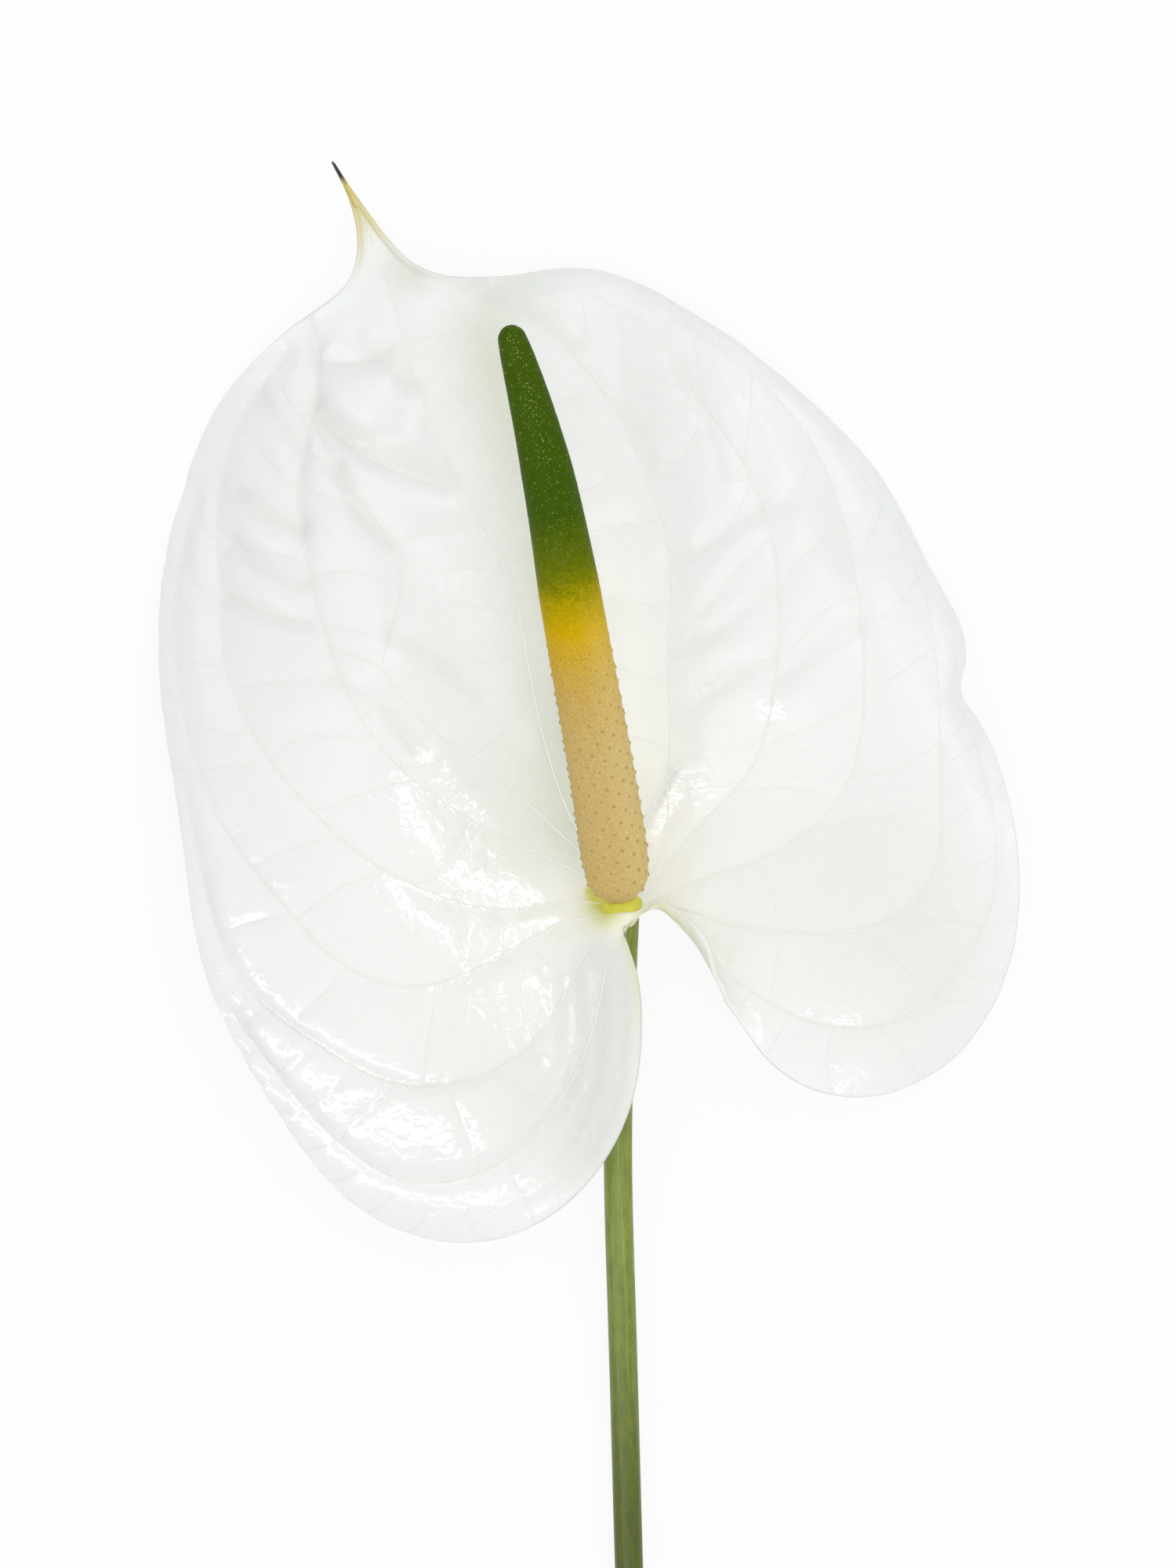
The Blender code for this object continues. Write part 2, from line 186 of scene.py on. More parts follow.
# Heights of the blade's upper face above the table, at landmarks on it: (x, y, height).
HEIGHTS = [
    # the attachment round the node and the gutter under the spadix
    (0.3, -0.6, 10.5), (-2.9, -0.8, 10.5), (3.3, -0.6, 12.5), (-4.0, -1.8, 12.5), (4.5, -1.7, 15.0),
    (0.0, -2.6, 15.2), (1.6, -6.0, 16.4), (0.0, 3.0, 6.2),
    (-8.5, 5.0, 8.6), (8.5, 4.5, 11.5), (-7.0, 11.0, 6.0), (5.5, 10.0, 8.6),
    (-12.0, 35.0, 5.0), (-15.5, 60.0, 6.2), (-18.5, 83.0, 7.2), (-20.8, 103.0, 9.0),
    # the left lobe
    (-12.0, -9.0, 17.0), (3.0, -14.0, 18.5), (2.2, -30.0, 22.0), (-6.0, -45.0, 23.5),
    (-22.0, -25.0, 24.5), (-32.0, -53.0, 21.5), (-43.0, -22.0, 25.0), (-50.0, -40.0, 21.5),
    # the left half
    (-45.0, 4.0, 22.5), (-67.0, -11.0, 19.0), (-71.5, 11.0, 15.5), (-24.0, 18.0, 12.0),
    (-42.0, 40.0, 19.0), (-76.0, 46.0, 8.0), (-45.0, 68.0, 14.5), (-72.8, 70.0, 2.87),
    (-64.0, 88.0, 3.8), (-43.0, 89.0, 11.5), (-30.0, 60.0, 9.5), (-50.0, 98.0, 7.5),
    # the channelled tip
    (-40.0, 106.0, 9.5), (-43.0, 114.0, 10.5), (-46.6, 121.8, 10.0),
    # the right lobe
    (12.2, -6.4, 17.5), (22.0, -6.0, 20.5), (38.0, -8.0, 24.5), (35.0, -30.0, 25.0),
    (54.0, -20.0, 24.5), (64.0, 0.0, 23.0), (46.0, 14.0, 22.5), (26.0, 14.0, 16.5),
    # the right half and its rolled shoulder
    (61.0, 24.0, 18.0), (10.0, 32.0, 12.8), (30.0, 36.0, 19.5), (52.0, 54.0, 9.5),
    (24.0, 60.0, 18.0), (43.2, 71.8, 5.5), (2.0, 66.0, 11.5), (27.0, 87.0, 9.0),
    (8.0, 86.0, 12.5), (9.3, 100.2, 9.5), (-6.0, 105.0, 9.5), (-31.0, 104.5, 10.0),
]
# Above one, cells are narrower at the rolled margin.
EDGE_CROWDING = 1.35
NO_DISTANCE = 1e-9
TRACE_SAMPLES = 600

# Main veins, in plan, from the node outwards: name, and the points it passes.
MAIN_VEINS = {
    "left_1": [
        (-1.5, 3.0), (-7.0, 6.5), (-14.5, 10.0), (-28.0, 17.5), (-39.5, 27.5), (-47.5, 43.5),
        (-52.5, 61.5), (-53.5, 71.0), (-51.5, 83.0), (-50.5, 93.0),
    ],
    "left_2": [
        (-1.5, 1.0), (-7.0, 2.0), (-17.5, 1.0), (-32.0, 4.0), (-42.0, 9.5), (-50.0, 16.5),
        (-58.0, 26.0), (-65.5, 43.0), (-66.5, 55.0), (-67.0, 70.0), (-62.0, 84.5), (-56.0, 92.0),
    ],
    "left_3": [
        (-2.0, -0.5), (-7.0, -0.8), (-14.5, -3.5), (-22.5, -8.0), (-34.5, -11.5), (-46.5, -7.0),
        (-54.0, 0.5), (-66.0, 16.0), (-70.5, 27.0), (-73.0, 38.0), (-74.0, 52.0), (-71.0, 68.0),
    ],
    "left_4": [
        (-2.0, -1.8), (-4.0, -3.2), (-6.5, -6.5), (-11.5, -16.5), (-17.5, -23.0), (-26.0, -26.8),
        (-37.0, -27.0), (-50.0, -20.5), (-60.0, -13.0), (-65.0, -5.5), (-69.0, 7.0), (-72.0, 22.0),
    ],
    "left_5": [
        (-1.2, -3.6), (-2.6, -8.0), (-4.0, -15.0), (-8.5, -27.0), (-15.0, -36.0), (-25.0, -42.5),
        (-36.0, -43.0), (-46.0, -37.0), (-55.0, -27.5), (-63.5, -16.5),
    ],
    "left_branch": [
        (-5.5, 8.5), (-14.5, 17.0), (-25.5, 26.0), (-34.5, 33.5), (-39.5, 40.0), (-47.5, 43.2),
    ],
    "left_inner": [
        (-39.5, 40.0), (-37.0, 48.0), (-36.5, 58.0), (-42.0, 67.0), (-48.0, 75.0), (-52.0, 82.5),
    ],
    "left_upper": [
        (-25.8, 69.3), (-32.5, 71.0), (-43.0, 76.0), (-52.0, 82.5),
    ],
    "left_high": [
        (-35.8, 94.5), (-40.0, 92.0), (-46.0, 90.5), (-50.8, 91.0),
    ],
    "right_1": [
        (2.5, 2.0), (5.5, 8.0), (7.5, 18.0), (7.5, 43.0), (7.2, 60.0), (2.0, 75.5), (-5.5, 88.5),
        (-16.0, 99.0),
    ],
    "right_2": [
        (2.8, 1.6), (7.0, 7.5), (13.0, 15.0), (20.5, 23.0), (24.0, 34.0), (24.5, 60.0),
        (19.0, 75.0), (13.0, 84.0), (4.5, 95.5), (-7.5, 102.5),
    ],
    "right_3": [
        (3.0, 1.0), (10.0, 4.5), (20.0, 8.0), (29.5, 13.0), (36.0, 20.5), (39.0, 33.0),
        (38.0, 55.0), (34.5, 71.0), (26.0, 84.5), (10.0, 98.0),
    ],
    "right_4": [
        (3.2, 0.6), (9.0, 1.0), (16.0, -1.2), (23.5, -2.5), (36.0, -2.6), (45.0, 0.5), (50.5, 8.0),
        (51.5, 20.0), (51.2, 40.0), (46.5, 61.5), (36.5, 78.0),
    ],
    "right_5": [
        (5.5, 0.3), (10.0, -2.0), (16.0, -8.0), (24.0, -14.5), (34.0, -18.0), (44.0, -17.0),
        (53.0, -10.5), (59.0, 0.0), (60.5, 12.0), (58.0, 27.0), (55.0, 42.0),
    ],
}
# Fine veins cross between neighbours: inner and outer line, first and last place along the
# inner one, spacing, and how far towards the tip they lean on the way out.
CROSS_VEINS = [
    ("midrib", "left_branch", 26, 50, 10, 8), ("midrib", "left_inner", 52, 78, 9, 6),
    ("midrib", "left_upper", 84, 96, 8, 5),
    ("left_branch", "left_1", 10, 50, 9, 6), ("left_inner", "left_1", 6, 40, 9, 7),
    ("left_1", "left_2", 16, 104, 10.5, 7), ("left_2", "left_3", 16, 120, 11, 5),
    ("left_3", "left_4", 14, 62, 15, 2), ("left_4", "left_5", 16, 84, 7.6, 0.5),
    ("left_3", "left_margin", 84, 120, 7, 3), ("left_5", "left_margin", 22, 98, 6.2, 1.5),
    ("right_1", "midrib", 14, 104, 12, 8),
    ("right_1", "right_2", 20, 100, 12, 12), ("right_2", "right_3", 22, 108, 12, 9),
    ("right_3", "right_4", 18, 118, 12, 7), ("right_4", "right_5", 16, 100, 8.5, 4),
    ("right_5", "right_margin", 20, 100, 7.5, 2), ("right_4", "right_margin", 70, 110, 9, 5),
]
# Only gaps of this width are crossed, by lines with points this far apart.
CROSS_WIDTHS = (2.5, 34.0)
CROSS_STEP = 0.8
CROSS_SEED = 11
# How far the blade swells between its veins, and the distance from a vein over which it
# rises: everywhere, and round some places (x, y, reach, more swell, distance).
SWELL = 0.32
SWELL_WIDTH = 3.4
NARROWEST_SWELL = 0.9
SWELLS = [
    (-40.0, -33.0, 13.0, 0.55, 0.9), (-22.0, -33.0, 11.0, 0.55, 0.9),
    (-57.0, -20.0, 11.0, 0.8, 0.9), (-8.0, -30.0, 8.0, 0.2, 1.5), (-28.0, -2.0, 12.0, 0.6, 3.0),
    (-16.0, -8.0, 8.0, 0.5, 2.4), (-64.0, 2.0, 10.0, 0.8, 1.2), (-44.0, 84.0, 17.0, 2.3, 3.0),
    (-60.0, 62.0, 17.0, 2.1, 2.8), (-62.0, 38.0, 14.0, 0.6, 3.0), (8.0, 84.0, 14.0, 0.9, 3.2),
    (16.0, 58.0, 16.0, 0.9, 3.2), (34.0, 60.0, 16.0, 0.7, 3.0), (54.0, -6.0, 11.0, 0.45, 1.8),
    (40.0, -22.0, 10.0, 0.35, 2.0),
]
# Unevenness all over the blade: (period, seed, height).
UNEVENNESS = [(9.0, 3.1, 0.16), (4.0, 7.7, 0.08)]
# Small crumples: where they lie (x, y, reach across and along), period and seed, height.
CRUMPLED = (-46.0, -22.0, 28.0, 26.0)
CRUMPLES = (3.4, 9.1)
CRUMPLE_HEIGHT = 0.12
# Slow waves in the upper part of the blade: period and seed, height.
WAVES = (17.0, 5.5)
WAVE_HEIGHT = 0.7
# The flesh sinks beside the main veins.
VEIN_GROOVE = 0.10
VEIN_GROOVE_WIDTH = 0.7
# Where the wax on the blade lies smooth enough to gleam: (x, y, reach).
GLOSSY = [
    (-38.0, -27.0, 30.0), (-62.0, -5.0, 18.0), (-34.0, 8.0, 18.0), (-20.0, -5.0, 15.0),
    (8.5, 4.0, 7.5), (7.8, 18.5, 6.5), (36.0, -22.0, 18.0), (24.0, 33.0, 2.0), (39.5, 33.0, 2.5),
]
# Slack folds cross the blade between its veins: their lines in plan, width, depth, painted shade.
FOLDS = [
    ([(-42.9, 94.8), (-39.5, 91.5), (-34.5, 87.0)], 2.2, 0.8, 0.30),
    ([(-51.1, 83.3), (-46.0, 79.0), (-39.5, 75.8), (-28.5, 71.4)], 2.4, 1.0, 0.34),
    ([(-63.1, 69.1), (-57.7, 65.2), (-52.8, 63.0)], 1.8, 0.8, 0.32),
    ([(-64.2, 60.5), (-59.3, 56.9), (-52.5, 54.2)], 1.8, 0.8, 0.28),
    ([(-65.3, 51.6), (-58.8, 49.0), (-52.2, 47.4)], 1.6, 0.6, 0.22),
    ([(-46.7, 73.6), (-43.9, 67.2), (-37.4, 60.6)], 1.5, 0.8, 0.34),
    ([(-52.2, 98.0), (-51.4, 91.0)], 1.4, 0.6, 0.24),
    ([(-60.6, 86.5), (-57.4, 81.5), (-54.2, 77.4)], 1.6, 0.7, 0.26),
    ([(-46.7, 38.4), (-39.1, 33.6), (-33.6, 27.5)], 1.8, 0.7, 0.24),
    ([(-37.6, 45.8), (-30.3, 41.4), (-23.8, 35.2)], 1.6, 0.6, 0.22),
    ([(-33.0, 104.6), (-27.0, 103.8), (-20.5, 101.0)], 2.2, 0.5, 0.34),
    ([(-20.5, 101.0), (-14.5, 99.0), (-8.5, 93.5)], 2.0, 0.6, 0.26),
    ([(-7.1, 89.6), (-0.4, 81.6), (4.4, 72.4)], 1.6, 0.6, 0.17),
    ([(8.9, 90.2), (14.0, 79.9), (16.0, 72.0)], 1.6, 0.5, 0.16),
    ([(8.2, 57.7), (15.8, 61.6), (22.8, 66.7)], 1.8, 0.5, 0.14),
    ([(8.2, 42.2), (15.8, 46.4), (23.4, 52.0)], 1.8, 0.5, 0.14),
    ([(25.2, 38.1), (31.8, 42.9), (37.8, 46.8)], 1.7, 0.5, 0.14),
    ([(8.9, 31.6), (15.8, 37.4), (23.4, 41.2)], 1.7, 0.4, 0.08),
]
# Painted shade greying parts of the blade, and painted shade in its gutter where it shows past
# the spadix's end: (x, y, reach across, reach along, share).
PAINTED_SHADE_SPOTS = [
    (-20.0, -27.0, 16.0, 14.0, 0.3), (48.0, -7.0, 15.0, 24.0, 0.52),
    (-12.0, -31.0, 7.0, 9.0, 0.4), (7.0, 85.0, 9.0, 14.0, 0.28),
]
GUTTER_SHADE_SPOTS = [(-20.0, 101.0, 7.746, 7.746, 0.7), (-35.0, 105.5, 4.5, 4.0, 0.8)]
# The tints end unevenly: period and seed.
TINT_WAVES = (6.0, 12.0)
# The blade turns chartreuse in a crescent along the collar and in a spot beside it.
COLLAR_CRESCENT = [(-4.9, 3.4), (-4.2, 2.0), (-2.9, 0.9)]
COLLAR_SIDE = (-3.0, 1.0)
# One sharp crease stands up beside the node, on the right.
CREASE = [(3.2, 12.2), (6.0, 17.2), (9.3, 23.4)]
CREASE_WIDTH = 1.0
CREASE_HEIGHT = 1.5
# Soft pleats run from the node into the left lobe, beside the notch.
PLEAT_SPACING = 3.7
PLEAT_HEIGHT = 0.2
# The veins sink into the flesh this close to the node and to the tip.
NODE_CLEAR = 4.0
TIP_CLEAR = 8.0
VEIN_SIDES = 6
MAIN_VEIN_LIFT = 0.02
# Round the node the blade rises in a fleshy cushion that hides the collar's foot.
CUSHION_PLACE = (0.1, -1.0)
CUSHION_HEIGHT = 15.9
CUSHION_REACH = 4.8
CUSHION_STEEPNESS = 1.6
# How many times the points of the blade are drawn towards their neighbours.
EASING_ROUNDS = 30
CUSHION_ROUNDS = 4
NORMAL_ROUNDS = 6

# The camera looks straight down on a place beside the spathe's middle, in the frame, and
# takes in so much at this level of the flower.
VIEW_CENTRE = (0.44, 79.91)
FRAME_HEIGHT = 255.7
FRAME_LEVEL = 14.0
SENSOR = 36.0
CLIP_END_M = 20.0
# The lamps face one place in the frame.  Each has two ends, a width, and a mark that says
# whether it gleams on wax or lights it.
LIT_PLACE = (0.0, 80.0, 15.0)
LAMPS = {
    "key": (((150.0, -350.0, 900.0), (150.0, 450.0, 900.0)), 700.0, False),
    "side_gleam": (((1060.0, 420.0, 850.0), (540.0, 990.0, 850.0)), 130.0, True),
    "top_gleam": (((-1020.0, -225.0, 850.0), (60.0, -290.0, 850.0)), 150.0, True),
}
# The floor reaches this far each way.
FLOOR_REACH_M = 2.5
# How far the floor looks plain white; its own colour and the shadows show through the rest.
FLOOR_WHITE = 0.88


def hex_colour(text):
    """An sRGB hex colour as linear red, green, blue and alpha."""
    channels = [int(text[i:i + 2], 16) / 255.0 for i in (1, 3, 5)]
    return [c / 12.92 if c <= 0.04045 else ((c + 0.055) / 1.055) ** 2.4 for c in channels] + [1.0]


# ---------------------------------------------------------------- settings

def length_property(name, description, default_mm):
    return FloatProperty(name=name, description=description, default=default_mm * MM,
                         min=0.0, unit="LENGTH", precision=5)


def colour_property(name, description, default):
    return FloatVectorProperty(name=name, description=description, subtype="COLOR", size=4,
                               min=0.0, max=1.0, default=hex_colour(default))


class SpatheSettings(bpy.types.PropertyGroup):
    rows: IntProperty(name="Rows", description="Cells from the notch to the tip, even",
                      default=380, min=40)
    columns: IntProperty(name="Columns", description="Cells from the midrib to a margin, even",
                         default=80, min=10)
    relief: FloatProperty(name="Relief", description="Strength of the swelling between the veins",
                          default=1.0, min=0.0, subtype="FACTOR")
    main_vein: length_property("Main vein", "Radius of a main vein at the node", 0.16)
    cross_vein: length_property("Cross vein", "Radius of a cross vein", 0.06)
    skin: colour_property("Skin", "The open blade", "#EFF0EE")
    edge: colour_property("Margin", "The blade near its margin", "#EEF1F0")
    # Cream round the node, and painted light: the blade is paler up the right side of the spadix.
    cream: colour_property("Cream", "The blade round the node", "#FBF9EC")
    # Painted shade: the grey laid beside the notch, over parts of the lobes and in the folds.
    fold: colour_property("Fold", "The folds beside the notch", "#DADBD5")
    node: colour_property("Node", "The attachment itself", "#CDCB45")
    # Painted shade: the grey-green laid along the spadix's left side and past its end.
    gutter: colour_property("Gutter", "The strip under the spadix", "#D0D4BF")
    tip: colour_property("Tip", "The rims of the tip", "#D2C267")
    withered: colour_property("Withered end", "The dried point", "#33211A")
    vein: colour_property("Veins", "The raised veins", "#F8F8F1")


class SpadixSettings(bpy.types.PropertyGroup):
    rings: IntProperty(name="Rings", description="Cells along the spadix", default=430, min=20)
    sides: IntProperty(name="Sides", description="Cells round the spadix", default=168, min=12)
    floret_area: FloatProperty(name="Floret area", description="Area of one floret in square mm",
                               default=4.8, min=0.5)
    pistil: length_property("Pistil", "Radius of a pistil's tip", 0.34)
    groove: length_property("Groove", "Depth of the grooves between florets", 0.05)
    tan: colour_property("Tan", "Florets at the base", "#D7BB7A")
    gold: colour_property("Gold", "Florets in the middle", "#DAB406")
    green: colour_property("Green", "Florets at the tip", "#405D01")
    dot: colour_property("Pistil colour", "Pistils on the tan florets", "#BB9F64")


class StalkSettings(bpy.types.PropertyGroup):
    rings: IntProperty(name="Rings", description="Cells along the stalk", default=260, min=20)
    sides: IntProperty(name="Sides", description="Cells round the stalk", default=48, min=12)
    green: colour_property("Green", "The stalk's skin", "#8A9A42")
    shade: colour_property("Shade", "The darker mottling", "#728334")
    streak: colour_property("Streak", "The pale streaks", "#9CAB62")
    cut: colour_property("Cut", "The pale cut face", "#C9D49A")


class CollarSettings(bpy.types.PropertyGroup):
    rings: IntProperty(name="Rings", description="Cells up the collar", default=28, min=8)
    sides: IntProperty(name="Sides", description="Cells round the collar", default=72, min=12)
    chartreuse: colour_property("Chartreuse", "The collar's skin", "#CBC62E")
    shade: colour_property("Foot", "Its foot, against the stalk", "#EDEBC6")


class StageSettings(bpy.types.PropertyGroup):
    view_height: FloatProperty(name="View height", description="Camera above the table",
                               default=0.95, min=0.1, unit="LENGTH")
    ambient: FloatProperty(name="Ambient", description="Strength of the light from all round",
                           default=0.79, min=0.0)
    key: FloatProperty(name="Key", description="Power of the soft key lamp", default=2.4,
                       min=0.0, subtype="POWER")
    side_gleam: FloatProperty(name="Side gleam", description="Power of the lamp beyond the right",
                              default=2.1, min=0.0, subtype="POWER")
    top_gleam: FloatProperty(name="Top gleam", description="Power of the strip lamp overhead",
                             default=2.7, min=0.0, subtype="POWER")
    floor: colour_property("Floor", "The pale floor", "#F7F7F7")


# ---------------------------------------------------------------- smooth curves

def spline(points):
    """The smooth curve through some points, as a function of 0 to 1 along their chords."""
    points = np.array(points, float)
    steps = np.linalg.norm(np.diff(points, axis=0), axis=1)
    knots = np.concatenate(([0.0], np.cumsum(steps))) / steps.sum()
    gaps = np.diff(knots)
    count = len(points)
    system = np.eye(count)
    target = np.zeros_like(points)
    for i in range(1, count - 1):
        system[i, i - 1:i + 2] = gaps[i - 1], 2.0 * (gaps[i - 1] + gaps[i]), gaps[i]
        rise_after = (points[i + 1] - points[i]) / gaps[i]
        rise_before = (points[i] - points[i - 1]) / gaps[i - 1]
        target[i] = 6.0 * (rise_after - rise_before)
    bend = np.linalg.solve(system, target)

    def at(u):
        u = np.atleast_1d(u)
        i = np.clip(np.searchsorted(knots, u) - 1, 0, count - 2)
        gap = gaps[i][:, None]
        after = (knots[i + 1] - u)[:, None]
        before = (u - knots[i])[:, None]
        cubic = (bend[i] * after**3 + bend[i + 1] * before**3) / (6.0 * gap)
        start = (points[i] / gap - bend[i] * gap / 6.0) * after
        end = (points[i + 1] / gap - bend[i + 1] * gap / 6.0) * before
        return cubic + start + end

    return at, knots


def lengths_along(points):
    """The distance from a line's first point to each of its points."""
    steps = np.linalg.norm(np.diff(points, axis=0), axis=1)
    return np.concatenate(([0.0], np.cumsum(steps)))


def trace(points, step=0.5):
    """Points at an even spacing along the smooth curve through some points."""
    fine = spline(points)[0](np.linspace(0.0, 1.0, TRACE_SAMPLES))
    reached = lengths_along(fine)
    places = np.linspace(0.0, reached[-1], max(2, int(reached[-1] / step) + 1))
    return np.column_stack([np.interp(places, reached, fine[:, i]) for i in range(fine.shape[1])])


def height_field(landmarks):
    """The smoothest surface through some heights: a thin plate bent over them."""
    landmarks = np.array(landmarks, float)
    places, heights = landmarks[:, :2], landmarks[:, 2]
    count = len(places)

    def plate(xy):
        apart = np.linalg.norm(xy[:, None] - places[None], axis=2)
        return apart**2 * np.log(np.maximum(apart, NO_DISTANCE))

    def plane(xy):
        return np.column_stack((np.ones(len(xy)), xy))

    system = np.zeros((count + 3, count + 3))
    system[:count, :count] = plate(places)
    system[:count, count:] = plane(places)
    system[count:, :count] = plane(places).T
    weights = np.linalg.solve(system, np.concatenate((heights, np.zeros(3))))

    def at(xy):
        return plate(xy) @ weights[:count] + plane(xy) @ weights[count:]

    return at


def unit(vectors):
    return vectors / np.maximum(np.linalg.norm(vectors, axis=-1, keepdims=True), NO_DISTANCE)


def smooth_step(low, high, value):
    share = np.clip((value - low) / (high - low), 0.0, 1.0)
    return share * share * (3.0 - 2.0 * share)


# ---------------------------------------------------------------- meshes and pieces

def working_offset():
    """From this file's millimetres to the frame's: the stalk's cut end gives the place."""
    low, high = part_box("peduncle")
    return np.array((high.x / MM - STALK_SIDEWAYS[-1][0] - STALK_DIAMETER / 2.0,
                     low.y / MM + STALK_LENGTH, low.z / MM))


def make_mesh(name, points_mm, faces):
    """A smooth mesh in the frame, from points in this file's millimetres."""
    mesh = bpy.data.meshes.new(name)
    placed = (np.asarray(points_mm, float) + working_offset()) * MM
    mesh.from_pydata(placed.tolist(), [], faces)
    mesh.validate()
    mesh.shade_smooth()
    mesh.update()
    return mesh


def set_attribute(mesh, name, values):
    """Store a number or a vector for each vertex."""
    values = np.asarray(values, np.float32)
    if values.ndim == 1:
        mesh.attributes.new(name, "FLOAT", "POINT").data.foreach_set("value", values)
    else:
        attribute = mesh.attributes.new(name, "FLOAT_VECTOR", "POINT")
        attribute.data.foreach_set("vector", values.ravel())


def show(mesh, name, node):
    """Make a mesh the visible piece for a node of the frame."""
    piece = bpy.data.objects.new(name, mesh)
    bpy.context.scene.collection.objects.link(piece)
    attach(piece, BODY)
    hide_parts(node)
    return piece


def tube_mesh(rings):
    """Points and faces of a closed tube, from rings of points that all turn the same way.
    Its last two points are the poles that close its start and its end."""
    count, sides = len(rings), len(rings[0])
    points = [tuple(p) for ring in rings for p in ring]
    faces = []
    for i in range(count - 1):
        for j in range(sides):
            k = (j + 1) % sides
            faces.append((i * sides + j, i * sides + k, (i + 1) * sides + k, (i + 1) * sides + j))
    for start, turned in ((0, True), ((count - 1) * sides, False)):
        pole = len(points)
        points.append(tuple(np.mean(points[start:start + sides], axis=0)))
        for j in range(sides):
            here, there = start + j, start + (j + 1) % sides
            faces.append((there, here, pole) if turned else (here, there, pole))
    return points, faces


def frames_along(points):
    """The directions ahead, sideways and up at each point of a line roughly along Y."""
    ahead = unit(np.gradient(points, axis=0))
    sideways = unit(np.cross(ahead, (0.0, 0.0, 1.0)))
    return ahead, sideways, np.cross(sideways, ahead)


# ---------------------------------------------------------------- materials

def add_node(tree, kind, inputs=(), output=0, stops=(), **settings):
    """Add a node with its settings, fill or link its inputs, and give back one output.  The
    inputs are a list in the node's own order, or a dictionary by number or name.  Stops are
    the places and colours of a colour ramp, of which the first is at 0 and the last at 1."""
    node = tree.nodes.new(kind)
    for name, value in settings.items():
        setattr(node, name, value)
    if stops:
        elements = node.color_ramp.elements
        elements[0].color, elements[-1].color = stops[0][1], stops[-1][1]
        for place, colour in stops[1:-1]:
            elements.new(place).color = colour
    for name, value in (inputs if isinstance(inputs, dict) else dict(enumerate(inputs))).items():
        if isinstance(value, bpy.types.NodeSocket):
            tree.links.new(value, node.inputs[name])
        else:
            node.inputs[name].default_value = value
    return node.outputs[output] if node.outputs else None


def start_material(name):
    """A new material, and its tree with nothing in it yet."""
    material = bpy.data.materials.new(name)
    material.use_nodes = True
    material.node_tree.nodes.clear()
    return material, material.node_tree


def finish_material(tree, finish):
    """The one shader of a material, linked to its output."""
    shader = add_node(tree, "ShaderNodeBsdfPrincipled", finish)
    add_node(tree, "ShaderNodeOutputMaterial", {"Surface": shader})


def layered(tree, under, over, share, low=0.0, high=1.0, least=0.0, most=1.0, blend="MIX"):
    """One colour laid over another: least of it where the share is low, and most where it is
    high.  The share is a socket, or the name of a value that the mesh holds."""
    if isinstance(share, str):
        share = add_node(tree, "ShaderNodeAttribute", output="Fac", attribute_name=share)
    share = add_node(tree, "ShaderNodeMapRange", [share, low, high, least, most])
    return add_node(tree, "ShaderNodeMix", {0: share, 6: under, 7: over}, 2,
                    data_type="RGBA", blend_type=blend)


